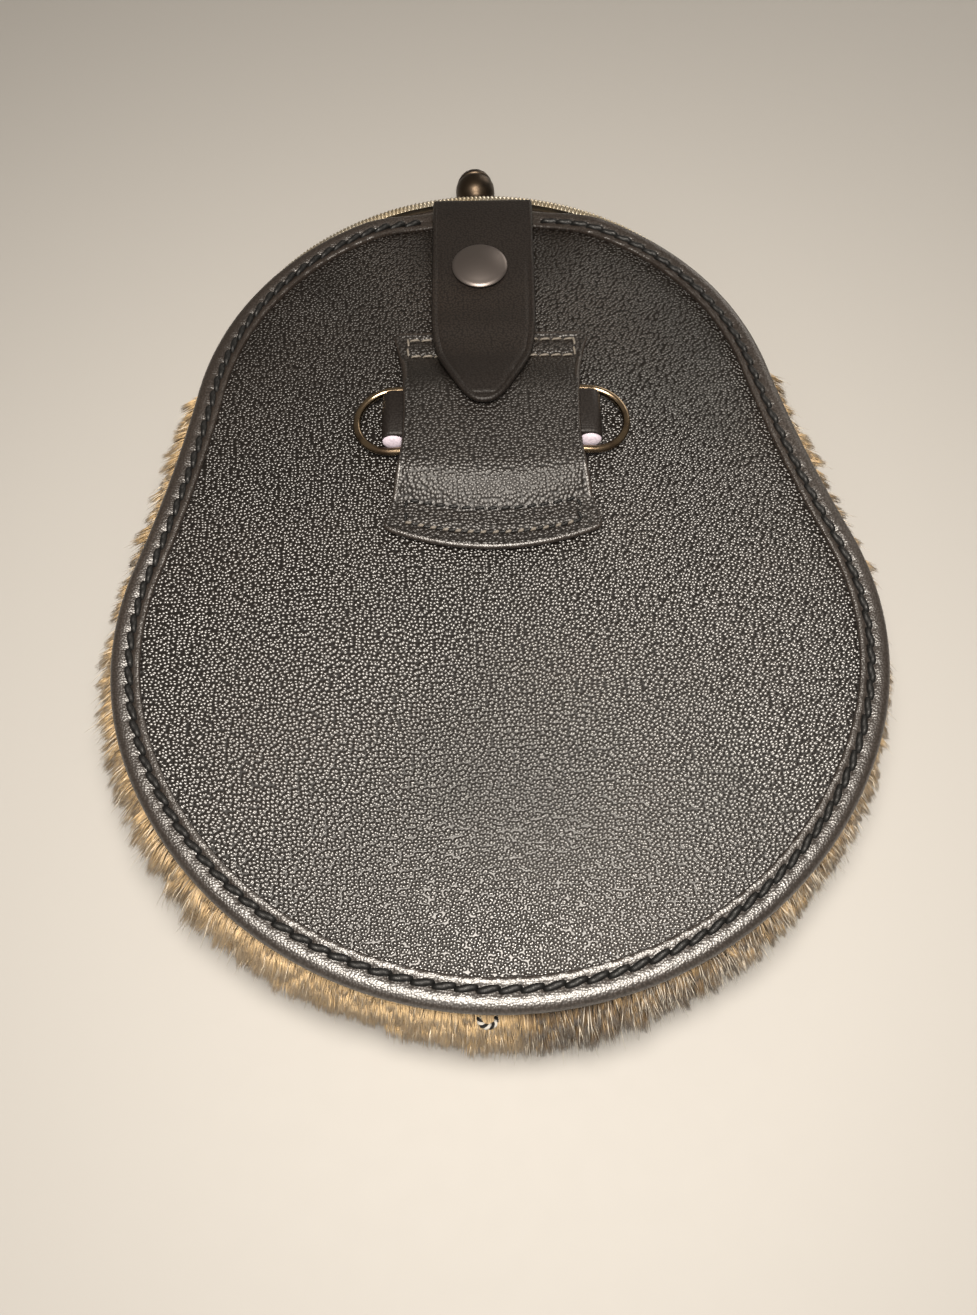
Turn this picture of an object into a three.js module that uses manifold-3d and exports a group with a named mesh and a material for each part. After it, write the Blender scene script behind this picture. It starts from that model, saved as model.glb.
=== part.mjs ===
// A dress sporran pouch lying on its furred front, with its leather back facing up.
// Millimetres. +Z is up from the table, +Y runs to the top of the pouch as it is worn,
// and +X is to the right seen from behind. The origin is under the middle of the pouch.

import * as THREE from "three";
import { mergeVertices } from "three/addons/utils/BufferGeometryUtils.js";
import Module from "manifold-3d";

const wasm = await Module();
wasm.setup();

const { degToRad, lerp, smoothstep } = THREE.MathUtils;

// Gap between two pieces that touch
const FIT = 0.3;

// Outline of the leather back: an egg of four arcs on each side
const HEAD = { y: 33.6, r: 75 }; // round top
const WAIST_R = 400; // slight hollow of the flanks
const HIP = { x: 17, y: -26.5, r: 72.4 }; // widest part
const FOOT_Y = -110; // lowest point of the edge
const HALF_STEPS = 36; // stations from the foot to the top, on one side

// Leather back and the strip folded over its edge
const BACK_Z = 34; // outer face above the table
const PANEL_T = 2;
const BINDING = { wall: 1, cover: 7 };
const EDGE_INSET = BINDING.wall + FIT; // from the binding's outside to the panel's edge
const BINDING_TOP = BACK_Z + FIT + BINDING.wall;
const BINDING_FOOT = BACK_Z - PANEL_T - FIT - BINDING.wall;

// The closing tab pulls the top edge of the back down a little, on this stretch of it
const PULL = { depth: 3, x: 2.5, flat: 15, end: 34, reach: 26 };

// Metal cantle: a half-round front plate with a gallery wall round the top of the pouch
const CANTLE = { r: 74, y: 46, sheet: 1.4, back: 26, end: degToRad(4), lowMiddle: 60, steps: 32 };
const RIM = { width: 2.6, deep: 2.2 }; // thick milled edge at the back of the gallery
const CANTLE_INSIDE = CANTLE.r - CANTLE.sheet;

// Turned knob on top of the gallery: radius against height above the gallery
const KNOB_AT = { x: 1.5, z: 17.5 };
const KNOB = [
  { height: 0, r: 6 },
  { height: 1.4, r: 6 },
  { height: 2.4, r: 3.6 },
  { height: 4.8, r: 3.4 },
  { height: 6.2, r: 4.9 },
  { height: 7.6, r: 5.7 },
  { height: 10.4, r: 5.9 },
  { height: 11.8, r: 5.6 },
  { height: 12.3, r: 5.1 },
  { height: 12.9, r: 5.2 },
  { height: 14.8, r: 4.4 },
  { height: 16.4, r: 2.9 },
];
const KNOB_TOP = 17.2;

// Hide of the front as a section from the belly's middle, round the outside, over the rim and
// down the inside. Out is measured from the leather's edge, and in the "cap" columns, which
// hold at the top of the pouch, from the inside of the gallery.
const RIM_Z = BINDING_FOOT - FIT;
const HIDE = [
  { out: -34, z: 3, capOut: -34, capZ: 1.7 },
  { out: -12, z: 3, capOut: -8, capZ: 1.7 },
  { out: -5, z: 5, capOut: -1.5, capZ: 3.4 },
  { out: -2, z: 10, capOut: 0, capZ: 8 },
  { out: -1.7, z: 17, capOut: 0, capZ: 14 },
  { out: -1.7, z: RIM_Z, capOut: 0, capZ: 23.5 },
  { out: -3.7, z: RIM_Z, capOut: -2, capZ: 23.5 },
  { out: -3.7, z: 17, capOut: -2, capZ: 14 },
  { out: -4, z: 11, capOut: -2, capZ: 8.6 },
  { out: -7, z: 6.6, capOut: -3.4, capZ: 5 },
  { out: -13, z: 5, capOut: -9, capZ: 3.7 },
  { out: -34, z: 5, capOut: -34, capZ: 3.7 },
];
const CAP = { from: 38, to: 45 }; // along the pouch, where the hide goes inside the gallery

// Fur on the hide, a section like the hide's that starts inside the leather. Full is the share
// of the extra swell that the fur has beside the ends of the cantle.
const FUR = [
  { out: -34, z: 0, full: 0 },
  { out: -9, z: 0, full: 0 },
  { out: -3.5, z: 1.2, full: 0.2 },
  { out: 0.5, z: 4.5, full: 0.5 },
  { out: 2.2, z: 10, full: 0.9 },
  { out: 2.6, z: 17, full: 1 },
  { out: 1.6, z: 24, full: 0.9 },
  { out: -1, z: RIM_Z - 1, full: 0.3 },
  { out: -2.7, z: RIM_Z - 1, full: 0 },
  { out: -2.7, z: 17, full: 0 },
  { out: -3.2, z: 10.5, full: 0 },
  { out: -6.5, z: 5.6, full: 0 },
  { out: -13, z: 4, full: 0 },
  { out: -34, z: 4, full: 0 },
];
const SWELL = { more: 6.5, from: -50, to: 35 };

// Rows of locks round the sides, from just under the binding down to the belly
const LOCK_SIDES = 4;
const LOCK_SWEEP = -0.7; // hair lies towards the foot of the pouch
const LOCKS = [
  { z: 24, out: -0.5, length: 6.8, r: 5.2, lift: -0.1, shift: 0 },
  { z: 15.5, out: 0.3, length: 6.4, r: 5.2, lift: -0.25, shift: 0.5 },
  { z: 7.5, out: -1.5, length: 6.2, r: 4.8, lift: -0.3, shift: 0.25 },
];
const LOCK_PITCH = 13;
const LOCKS_TOP_Y = 48;

// Belt loop, ring strap and closing tab, sewn on a little askew
const SEWN = { x: 1.3, y: 30, turn: degToRad(-2.5) };
const LEATHER_T = 1.6;

// Belt loop: half width, height of its underside and bow of the section, along the pouch
const LOOP = [
  { v: 29, half: 25.5, under: FIT, bow: 0 },
  { v: 25, half: 24.2, under: FIT, bow: 0 },
  { v: 20.5, half: 23.2, under: FIT + 0.2, bow: 0 },
  { v: 15, half: 22.3, under: 3.2, bow: 0 },
  { v: 10, half: 21.8, under: 5.3, bow: 0 },
  { v: 2, half: 21.5, under: 5.4, bow: 0 },
  { v: -8, half: 21.7, under: 5.4, bow: 0.8 },
  { v: -14, half: 22.6, under: 5.2, bow: 2.2 },
  { v: -17.5, half: 23.3, under: 3.4, bow: 3 },
  { v: -21, half: 24.1, under: FIT + 0.2, bow: 3.8 },
  { v: -25, half: 25, under: FIT, bow: 4.4 },
  { v: -29.5, half: 25.9, under: FIT, bow: 4.9 },
];
const LOOP_ACROSS = 6;

// Strap of doubled leather under the belt loop, with a ring in each end
const STRAP = { v: 1.3, wide: 15, thick: 4.8, middle: 3, half: 27.5, shoulder: 14 };
const RING = { wire: 1, bar: 20, inside: 16.4, corner: 1.8, leg: 4.9, boreR: 1.35, steps: 28 };
const BAR_Z = FIT + STRAP.thick / 2;

// Closing tab: the middle of its thickness, from inside the gallery over the edge to its tip
const TAB_U = -1.8;
const TAB = [
  { v: 83.5, z: -20, half: 13.5 },
  { v: 83.5, z: -15, half: 13.5 },
  { v: 82.6, z: -11.5, half: 13.5 },
  { v: 80.6, z: -7.2, half: 13.5 },
  { v: 79.8, z: -4.2, half: 13.5 },
  { v: 79.5, z: -2.2, half: 13.5 },
  { v: 78.2, z: -0.8, half: 13.5 },
  { v: 76.3, z: -0.3, half: 13.5 },
  { v: 71, z: 0.4, half: 13.5 },
  { v: 60, z: 0.4, half: 13.5 },
  { v: 52, z: 1.15, half: 13.5 },
  { v: 44, z: 1.15, half: 13.5 },
  { v: 37, z: 1.7, half: 13.4 },
  { v: 31, z: 3.1, half: 13.2 },
  { v: 25, z: 3.3, half: 12.6 },
  { v: 20, z: 4.1, half: 11.5 },
  { v: 15, z: 6.3, half: 9.8 },
  { v: 10, z: 8, half: 7.6 },
  { v: 6, z: 8.4, half: 5 },
  { v: 3.2, z: 8.4, half: 1.8 },
];
const TAB_ACROSS = 4;
const SNAP = { u: -2.7, v: 51.6, r: 7.5, crown: 2.2, postR: 2.5, holeR: 2.8, sides: 24 };

// Finishes
const grainedLeather = finish("#2b2623", 0.5, 0);
const smoothLeather = finish("#26211e", 0.42, 0);
const fur = finish("#b3976a", 0.85, 0);
const pewter = finish("#b9ad98", 0.32, 1);
const darkNickel = finish("#6a6058", 0.35, 1);
const ringMetal = finish("#8a7356", 0.3, 1);

function finish(color, roughness, metalness) {
  return new THREE.MeshStandardMaterial({ color, roughness, metalness });
}

function node(name, geometry, material) {
  const mesh = new THREE.Mesh(geometry, material);
  mesh.name = name;
  return mesh;
}

// A closed surface through rings of equal length. Rings run anticlockwise seen from above and
// follow one another up the outside. The ends are filled flat, or the last ring meets the first.
function skin(rings, joined = false) {
  const around = rings[0].length;
  const points = rings.flat();
  const faces = [];
  const strips = joined ? rings.length : rings.length - 1;
  for (let j = 0; j < strips; j++) {
    const low = j * around;
    const high = ((j + 1) % rings.length) * around;
    for (let i = 0; i < around; i++) {
      const k = (i + 1) % around;
      faces.push(low + i, low + k, high + k, low + i, high + k, high + i);
    }
  }
  if (!joined) {
    faces.push(...fan(points, 0, around, true));
    faces.push(...fan(points, (rings.length - 1) * around, around, false));
  }
  return geometryOf(points, faces);
}

// Triangles from the middle of a ring to its points, adding that middle to the list
function fan(points, start, around, facesDown) {
  const ring = points.slice(start, start + around);
  const middle = ring.reduce((sum, p) => sum.add(p), new THREE.Vector3());
  points.push(middle.divideScalar(around));
  const centre = points.length - 1;
  return ring.flatMap((_, i) => {
    const a = start + i;
    const b = start + ((i + 1) % around);
    return facesDown ? [centre, b, a] : [centre, a, b];
  });
}

function geometryOf(points, faces) {
  return new THREE.BufferGeometry().setFromPoints(points).setIndex(faces);
}

// A strip of leather from rows of points on its underside and its outside
function slab(rows) {
  const rings = rows.map(({ under, over }) => [...under, ...over.slice().reverse()]);
  return skin(rings);
}

function solidOf(geometry) {
  const bare = geometry.clone();
  for (const key of Object.keys(bare.attributes)) {
    if (key !== "position") bare.deleteAttribute(key);
  }
  const merged = mergeVertices(bare, 1e-4);
  const vertProperties = new Float32Array(merged.attributes.position.array);
  const triVerts = new Uint32Array(merged.index.array);
  return new wasm.Manifold(new wasm.Mesh({ numProp: 3, vertProperties, triVerts }));
}

function geometryOfSolid(solid) {
  const { vertProperties, triVerts } = solid.getMesh();
  return new THREE.BufferGeometry()
    .setAttribute("position", new THREE.BufferAttribute(vertProperties, 3))
    .setIndex(new THREE.BufferAttribute(triVerts, 1));
}

// The four arcs of one side, from the foot up to the top. Turn is -1 where the edge is hollow.
function edgeArcs() {
  const drop = HIP.y - FOOT_Y;
  const footR = (HIP.x ** 2 + drop ** 2 - HIP.r ** 2) / (2 * (drop - HIP.r));
  const foot = new THREE.Vector2(0, FOOT_Y + footR);
  const hip = new THREE.Vector2(HIP.x, HIP.y);
  const head = new THREE.Vector2(0, HEAD.y);
  const waist = outsideCentre(head, HEAD.r + WAIST_R, hip, HIP.r + WAIST_R);
  const footToHip = hip.clone().sub(foot).angle() - 2 * Math.PI;
  const hipToWaist = waist.clone().sub(hip).angle();
  const headToWaist = waist.clone().sub(head).angle();
  return [
    { centre: foot, r: footR, from: -Math.PI / 2, to: footToHip, turn: 1 },
    { centre: hip, r: HIP.r, from: footToHip, to: hipToWaist, turn: 1 },
    { centre: waist, r: WAIST_R, from: hipToWaist + Math.PI, to: headToWaist + Math.PI, turn: -1 },
    { centre: head, r: HEAD.r, from: headToWaist, to: Math.PI / 2, turn: 1 },
  ];
}

// The point on the outer side of two centres, at given distances from them
function outsideCentre(a, distanceA, b, distanceB) {
  const across = b.clone().sub(a);
  const d = across.length();
  const along = (distanceA ** 2 - distanceB ** 2 + d ** 2) / (2 * d);
  const off = Math.sqrt(distanceA ** 2 - along ** 2);
  across.normalize();
  const aside = new THREE.Vector2(-across.y, across.x);
  return a.clone().addScaledVector(across, along).addScaledVector(aside, off);
}

// Points evenly spaced up one side of the edge, each with its outward direction
function sideStations(steps) {
  const arcs = edgeArcs();
  const lengths = arcs.map((arc) => Math.abs(arc.to - arc.from) * arc.r);
  const total = lengths.reduce((sum, x) => sum + x, 0);
  return Array.from({ length: steps + 1 }, (_, i) => {
    let s = (total * i) / steps;
    let k = 0;
    while (k < arcs.length - 1 && s > lengths[k]) s -= lengths[k++];
    const arc = arcs[k];
    const angle = lerp(arc.from, arc.to, Math.min(1, s / lengths[k]));
    const outward = new THREE.Vector2(Math.cos(angle), Math.sin(angle));
    const at = arc.centre.clone().addScaledVector(outward, arc.r);
    return { at, outward: outward.multiplyScalar(arc.turn) };
  });
}

function mirrored({ at, outward }) {
  return {
    at: new THREE.Vector2(-at.x, at.y),
    outward: new THREE.Vector2(-outward.x, outward.y),
  };
}

// The whole edge, anticlockwise from the foot
function edgeStations(steps) {
  const right = sideStations(steps);
  const left = right.slice(1, -1).reverse().map(mirrored);
  return [...right, ...left];
}

const edge = edgeStations(HALF_STEPS);

function pull(at, out) {
  if (at.y < 0) return 0;
  const along = 1 - smoothstep(Math.abs(at.x - PULL.x), PULL.flat, PULL.end);
  return PULL.depth * along * Math.max(0, 1 + out / PULL.reach);
}

function edgeRing(out, z) {
  return edge.map(({ at, outward }) => {
    const p = at.clone().addScaledVector(outward, out);
    return new THREE.Vector3(p.x, p.y, z - pull(at, out));
  });
}

function backPanel() {
  const round = 0.4;
  const rings = [
    edgeRing(-PULL.reach, BACK_Z - PANEL_T),
    edgeRing(-BINDING.cover, BACK_Z - PANEL_T),
    edgeRing(-EDGE_INSET - round, BACK_Z - PANEL_T),
    edgeRing(-EDGE_INSET, BACK_Z - PANEL_T + round),
    edgeRing(-EDGE_INSET, BACK_Z - round),
    edgeRing(-EDGE_INSET - round, BACK_Z),
    edgeRing(-BINDING.cover, BACK_Z),
    edgeRing(-PULL.reach, BACK_Z),
  ];
  return node("back_panel", skin(rings), grainedLeather);
}

// A strip folded round the panel's edge: a U section whose fold is the pouch's outer edge
function edgeBinding() {
  const middle = (BINDING_TOP + BINDING_FOOT) / 2;
  const foldR = (BINDING_TOP - BINDING_FOOT) / 2;
  const section = [];
  const foldSteps = 5;
  for (let i = 0; i <= foldSteps; i++) {
    const a = lerp(-Math.PI / 2, Math.PI / 2, i / foldSteps);
    section.push({ out: foldR * (Math.cos(a) - 1), z: middle + foldR * Math.sin(a) });
  }
  section.push(
    { out: -BINDING.cover, z: BINDING_TOP },
    { out: -BINDING.cover, z: BACK_Z + FIT },
    { out: -BINDING.wall, z: BACK_Z + FIT },
    { out: -BINDING.wall, z: BACK_Z - PANEL_T - FIT },
    { out: -BINDING.cover, z: BACK_Z - PANEL_T - FIT },
    { out: -BINDING.cover, z: BINDING_FOOT },
  );
  const rings = section.map(({ out, z }) => edgeRing(out, z));
  return node("edge_binding", skin(rings, true), smoothLeather);
}

// The lower edge of the cantle's plate from its left end to its right, set off by a margin
function lowEdge(shape, margin) {
  const endX = CANTLE.r * Math.cos(CANTLE.end);
  const endY = CANTLE.y + CANTLE.r * Math.sin(CANTLE.end) - margin;
  const curveX = endX - 2 * RIM.width;
  shape.lineTo(-endX, endY);
  shape.lineTo(-curveX, endY);
  shape.quadraticCurveTo(0, 2 * (CANTLE.lowMiddle - margin) - endY, curveX, endY);
  shape.lineTo(endX, endY);
}

function raised(shape, low, high) {
  const options = { depth: high - low, bevelEnabled: false, curveSegments: CANTLE.steps };
  return new THREE.ExtrudeGeometry(shape, options).translate(0, 0, low);
}

// A wall that follows the top of the cantle
function galleryBand(width, low, high) {
  const inner = CANTLE.r - width;
  const shape = new THREE.Shape();
  shape.absarc(0, CANTLE.y, CANTLE.r, CANTLE.end, Math.PI - CANTLE.end, false);
  shape.absarc(0, CANTLE.y, inner, Math.PI - CANTLE.end, CANTLE.end, true);
  return raised(shape, low, high);
}

function cantle() {
  const plate = new THREE.Shape();
  plate.absarc(0, CANTLE.y, CANTLE.r, CANTLE.end, Math.PI - CANTLE.end, false);
  lowEdge(plate, 0);
  const solid = solidOf(raised(plate, 0, CANTLE.sheet))
    .add(solidOf(galleryBand(CANTLE.sheet, 0, CANTLE.back)))
    .add(solidOf(galleryBand(RIM.width, CANTLE.back - RIM.deep, CANTLE.back)));
  return node("cantle", geometryOfSolid(solid), pewter);
}

// The knob's foot is hollowed to the curve of the gallery that it is screwed to
function knob() {
  const outline = KNOB.map(({ height, r }) => new THREE.Vector2(r, height));
  const below = new THREE.Vector2(KNOB[0].r, -1);
  const profile = [new THREE.Vector2(0, -1), below, ...outline, new THREE.Vector2(0, KNOB_TOP)];
  const turned = new THREE.LatheGeometry(profile, 18);
  turned.translate(KNOB_AT.x, CANTLE.y + CANTLE.r + FIT, KNOB_AT.z);
  const seat = new THREE.CylinderGeometry(CANTLE.r + FIT, CANTLE.r + FIT, 2 * CANTLE.back, 120);
  seat.rotateX(Math.PI / 2).translate(0, CANTLE.y, 0);
  const solid = solidOf(turned).subtract(solidOf(seat));
  return node("knob", geometryOfSolid(solid), pewter);
}

// One row of the hide's section: round the leather's edge, and inside the gallery at the top
function hideRing({ out, z, capOut, capZ }) {
  return edge.map(({ at, outward }) => {
    const cap = smoothstep(at.y, CAP.from, CAP.to);
    const low = at.clone().addScaledVector(outward, out);
    const high = at.clone().sub(new THREE.Vector2(0, CANTLE.y));
    high.setLength(CANTLE_INSIDE - FIT + capOut).y += CANTLE.y;
    const p = low.lerp(high, cap);
    return new THREE.Vector3(p.x, p.y, lerp(z, capZ, cap));
  });
}

function swell(y) {
  return SWELL.more * smoothstep(y, SWELL.from, SWELL.to);
}

function furRing({ out, z, full }) {
  return edge.map(({ at, outward }) => {
    const p = at.clone().addScaledVector(outward, out + full * swell(at.y));
    return new THREE.Vector3(p.x, p.y, z);
  });
}

// One pointed lock of hair, rooted in the fur
function lock({ at, outward }, row, length) {
  const root = at.clone().addScaledVector(outward, row.out + swell(at.y));
  const lie = new THREE.Vector3(outward.x, outward.y + LOCK_SWEEP, row.lift).normalize();
  const cone = new THREE.ConeGeometry(row.r, length, LOCK_SIDES).translate(0, length / 2, 0);
  cone.applyQuaternion(new THREE.Quaternion().setFromUnitVectors(THREE.Object3D.DEFAULT_UP, lie));
  return cone.translate(root.x, root.y, row.z);
}

function lockStations(shift) {
  const fine = sideStations(8 * HALF_STEPS);
  const step = fine[1].at.distanceTo(fine[0].at);
  const found = [];
  for (let s = shift * LOCK_PITCH; s < (fine.length - 1) * step; s += LOCK_PITCH) {
    const station = fine[Math.round(s / step)];
    if (station.at.y < LOCKS_TOP_Y) found.push(station);
  }
  return found;
}

// The part of the pouch that the cantle covers, where the hide has no fur
function cantleRoom() {
  const far = 2 * CANTLE.r;
  const endY = CANTLE.y + CANTLE.r * Math.sin(CANTLE.end) - FIT;
  const shape = new THREE.Shape();
  shape.moveTo(far, far);
  shape.lineTo(-far, far);
  shape.lineTo(-far, endY);
  lowEdge(shape, FIT);
  shape.lineTo(far, endY);
  return raised(shape, -1, BACK_Z);
}

// Hair-on hide: one hollow front, with its fur standing out in locks round the sides
function furFront() {
  let hair = solidOf(skin(FUR.map(furRing)));
  for (const row of LOCKS) {
    lockStations(row.shift).forEach((station, i) => {
      const length = row.length * (1 + 0.14 * Math.sin(2.4 * i + 5 * row.shift));
      hair = hair.add(solidOf(lock(station, row, length)));
      if (station.at.x < 0.1) return;
      hair = hair.add(solidOf(lock(mirrored(station), row, length)));
    });
  }
  const solid = solidOf(skin(HIDE.map(hideRing))).add(hair.subtract(solidOf(cantleRoom())));
  return node("fur_front", geometryOfSolid(solid), fur);
}

// Hourglass of leather sewn down at its top and foot, standing clear of the strap between them
function beltLoop() {
  const rows = LOOP.slice().reverse().map(({ v, half, under, bow }) => {
    const line = (lift) =>
      Array.from({ length: LOOP_ACROSS + 1 }, (_, i) => {
        const t = lerp(-1, 1, i / LOOP_ACROSS);
        return new THREE.Vector3(t * half, v - bow * (1 - t * t), under + lift);
      });
    return { under: line(0), over: line(LEATHER_T) };
  });
  return node("belt_loop", slab(turnedRows(rows)), grainedLeather);
}

// Rows run along the pouch, and skin() wants rings that follow one another upwards
function turnedRows(rows) {
  return rows.map(({ under, over }) => ({
    under: under.slice().reverse(),
    over: over.slice().reverse(),
  }));
}

// Doubled strap seen from its end: thick round ends drilled for the ring bars, thinner between
function ringStrap() {
  const r = STRAP.thick / 2;
  const straight = STRAP.half - r;
  const shape = new THREE.Shape();
  shape.moveTo(-straight, 0);
  shape.lineTo(straight, 0);
  shape.absarc(straight, r, r, -Math.PI / 2, Math.PI / 2, false);
  shape.lineTo(STRAP.shoulder, STRAP.thick);
  shape.lineTo(STRAP.shoulder - 3, STRAP.middle);
  shape.lineTo(3 - STRAP.shoulder, STRAP.middle);
  shape.lineTo(-STRAP.shoulder, STRAP.thick);
  shape.lineTo(-straight, STRAP.thick);
  shape.absarc(-straight, r, r, Math.PI / 2, 1.5 * Math.PI, false);
  for (const side of [-1, 1]) {
    const bore = new THREE.Path();
    bore.absarc(side * RING.bar, r, RING.boreR, 0, 2 * Math.PI, true);
    shape.holes.push(bore);
  }
  const options = { depth: STRAP.wide, bevelEnabled: false, curveSegments: 7 };
  const geometry = new THREE.ExtrudeGeometry(shape, options);
  geometry.rotateX(Math.PI / 2).translate(0, STRAP.v + STRAP.wide / 2, FIT);
  return node("ring_strap", geometry, smoothLeather);
}

// Middle line of a D ring, flat, with its bar on the Y axis
function ringLine() {
  const high = RING.inside / 2 + RING.wire;
  const { corner, leg } = RING;
  const shape = new THREE.Path();
  shape.moveTo(0, 0);
  shape.lineTo(0, corner - high);
  shape.absarc(corner, corner - high, corner, Math.PI, 1.5 * Math.PI, false);
  shape.lineTo(leg, -high);
  shape.absarc(leg, 0, high, -Math.PI / 2, Math.PI / 2, false);
  shape.lineTo(corner, high);
  shape.absarc(corner, high - corner, corner, Math.PI / 2, Math.PI, false);
  shape.lineTo(0, 0);
  const points = shape.getSpacedPoints(RING.steps).slice(0, -1);
  return new THREE.CatmullRomCurve3(points.map((p) => new THREE.Vector3(p.x, p.y, 0)), true);
}

// A ring in one end of the strap, its round end lying on the leather
function dRing(name, side) {
  const reach = RING.leg + RING.inside / 2 + RING.wire;
  const droop = Math.asin((BAR_Z - RING.wire - FIT) / reach);
  const geometry = new THREE.TubeGeometry(ringLine(), RING.steps, RING.wire, 8, true);
  const ring = node(name, geometry, ringMetal);
  ring.position.set(side * RING.bar, STRAP.v, BAR_Z);
  ring.rotation.set(0, droop, side > 0 ? 0 : Math.PI, "ZYX");
  return ring;
}

// Leather tab that comes out of the mouth, folds over the edge and is snapped to the back
function closingTab() {
  const rows = TAB.map(({ v, z, half }, i) => {
    const before = TAB[Math.max(0, i - 1)];
    const after = TAB[Math.min(TAB.length - 1, i + 1)];
    const along = new THREE.Vector2(after.v - before.v, after.z - before.z).normalize();
    const across = (lift) =>
      Array.from({ length: TAB_ACROSS + 1 }, (_, k) => {
        const u = TAB_U + half * lerp(-1, 1, k / TAB_ACROSS);
        return new THREE.Vector3(u, v + along.y * lift, z - along.x * lift);
      });
    return { under: across(-LEATHER_T / 2), over: across(LEATHER_T / 2) };
  });
  const hole = new THREE.CylinderGeometry(SNAP.holeR, SNAP.holeR, 4 * LEATHER_T, 20);
  hole.rotateX(Math.PI / 2).translate(SNAP.u, SNAP.v, LEATHER_T);
  const solid = solidOf(slab(rows)).subtract(solidOf(hole));
  return node("closing_tab", geometryOfSolid(solid), smoothLeather);
}

// Round cap on the tab, with its post through to the leather back
function snapCap() {
  const seat = TAB.find(({ v }) => v < SNAP.v).z + LEATHER_T / 2 + FIT;
  const profile = [new THREE.Vector2(0, FIT), new THREE.Vector2(SNAP.postR, FIT)];
  profile.push(new THREE.Vector2(SNAP.postR, seat), new THREE.Vector2(SNAP.r - 0.4, seat));
  const steps = 5;
  for (let i = 0; i < steps; i++) {
    const a = (Math.PI / 2) * (i / steps);
    profile.push(new THREE.Vector2(SNAP.r * Math.cos(a), seat + 0.5 + (SNAP.crown - 0.5) * Math.sin(a)));
  }
  profile.push(new THREE.Vector2(0, seat + SNAP.crown));
  const geometry = new THREE.LatheGeometry(profile, SNAP.sides);
  geometry.rotateX(Math.PI / 2).translate(SNAP.u, SNAP.v, 0);
  return node("snap_cap", geometry, darkNickel);
}

const sewnOn = new THREE.Group();
sewnOn.position.set(SEWN.x, SEWN.y, BACK_Z);
sewnOn.rotation.z = SEWN.turn;
sewnOn.add(beltLoop(), ringStrap(), dRing("d_ring_left", -1), dRing("d_ring_right", 1));
sewnOn.add(closingTab(), snapCap());

const pouch = new THREE.Group();
pouch.add(backPanel(), edgeBinding(), furFront(), cantle(), knob(), sewnOn);

// The origin is on the table, under the middle of the whole object
const sporran = new THREE.Group();
sporran.add(pouch);
const middle = new THREE.Box3().setFromObject(sporran).getCenter(new THREE.Vector3());
pouch.position.set(-middle.x, -middle.y, 0);

export default sporran;
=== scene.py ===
"""Models and finishes a dress sporran pouch that lies on its furred front, leather back up."""

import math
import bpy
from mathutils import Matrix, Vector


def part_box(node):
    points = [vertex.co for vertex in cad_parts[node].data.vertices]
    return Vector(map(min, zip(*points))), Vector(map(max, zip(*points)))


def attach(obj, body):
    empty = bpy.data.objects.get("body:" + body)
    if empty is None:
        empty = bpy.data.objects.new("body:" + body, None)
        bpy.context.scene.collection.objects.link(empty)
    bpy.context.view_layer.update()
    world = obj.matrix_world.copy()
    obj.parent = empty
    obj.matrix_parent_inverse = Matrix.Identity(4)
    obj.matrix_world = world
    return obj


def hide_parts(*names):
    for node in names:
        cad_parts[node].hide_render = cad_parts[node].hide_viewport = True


bl_info = {
    "name": "Sporran pouch",
    "version": (1, 0, 0),
    "blender": (4, 5, 0),
    "location": "View3D > Sidebar > Sporran",
    "description": "Leather back, binding, stitching, fur, metal cantle and rings of a dress sporran",
    "category": "Object",
}

import bpy
import numpy as np
from mathutils import Matrix, Vector

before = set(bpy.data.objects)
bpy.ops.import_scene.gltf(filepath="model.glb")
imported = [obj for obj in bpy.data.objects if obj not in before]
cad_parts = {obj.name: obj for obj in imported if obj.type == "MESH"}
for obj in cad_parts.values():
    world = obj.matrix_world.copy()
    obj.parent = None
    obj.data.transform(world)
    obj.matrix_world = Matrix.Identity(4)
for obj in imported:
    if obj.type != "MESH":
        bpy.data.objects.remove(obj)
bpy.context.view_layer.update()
MM = 0.001

# Outline of the leather back in millimetres: an egg of four arcs on each side
HEAD = {"y": 33.6, "r": 75.0}
WAIST_R = 400.0
HIP = {"x": 17.0, "y": -26.5, "r": 72.4}
FOOT_Y = -110.0

# From the outline's own zero to the frame's, and the outer face of the back
SHIFT_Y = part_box("edge_binding")[0].y / MM - FOOT_Y
BACK_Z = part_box("back_panel")[1].z / MM
PANEL_T = 2.0
BINDING_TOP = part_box("edge_binding")[1].z / MM
BINDING_WALL = 1.0
EDGE_INSET = 1.3
BINDING_COVER = 7.0
GROOVE_OUT = -4.7

# The closing tab pulls the top edge of the back down on this stretch
PULL = {"depth": 3.0, "x": 2.5, "flat": 15.0, "end": 34.0, "reach": 26.0}

# Sewn-on pieces: place of their own zero on the back, and their turn
SEWN = {"x": 1.3, "y": 30.0, "turn": math.radians(-2.5)}
LEATHER_T = 1.6

# Metal cantle round the top of the pouch
CANTLE = {"r": 74.0, "y": 46.0, "sheet": 1.4, "back": 26.0, "end": math.radians(4), "low_middle": 60.0}
RIM = {"width": 2.6, "deep": 2.2}

# Fur: outside section from the belly up to the rim, measured out from the leather's edge.
# Full is the share of the extra swell beside the ends of the cantle.
FUR_ROWS = [
    # out, z, full
    (-9.0, 0.0, 0.0),
    (-3.5, 1.2, 0.2),
    (0.5, 4.5, 0.5),
    (2.2, 10.0, 0.9),
    (2.6, 17.0, 1.0),
    (1.6, 24.0, 0.9),
    (-1.0, 29.4, 0.3),
]
SWELL = {"more": 6.5, "from": -50.0, "to": 35.0}
FUR_TOP_Y = 50.5

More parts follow.
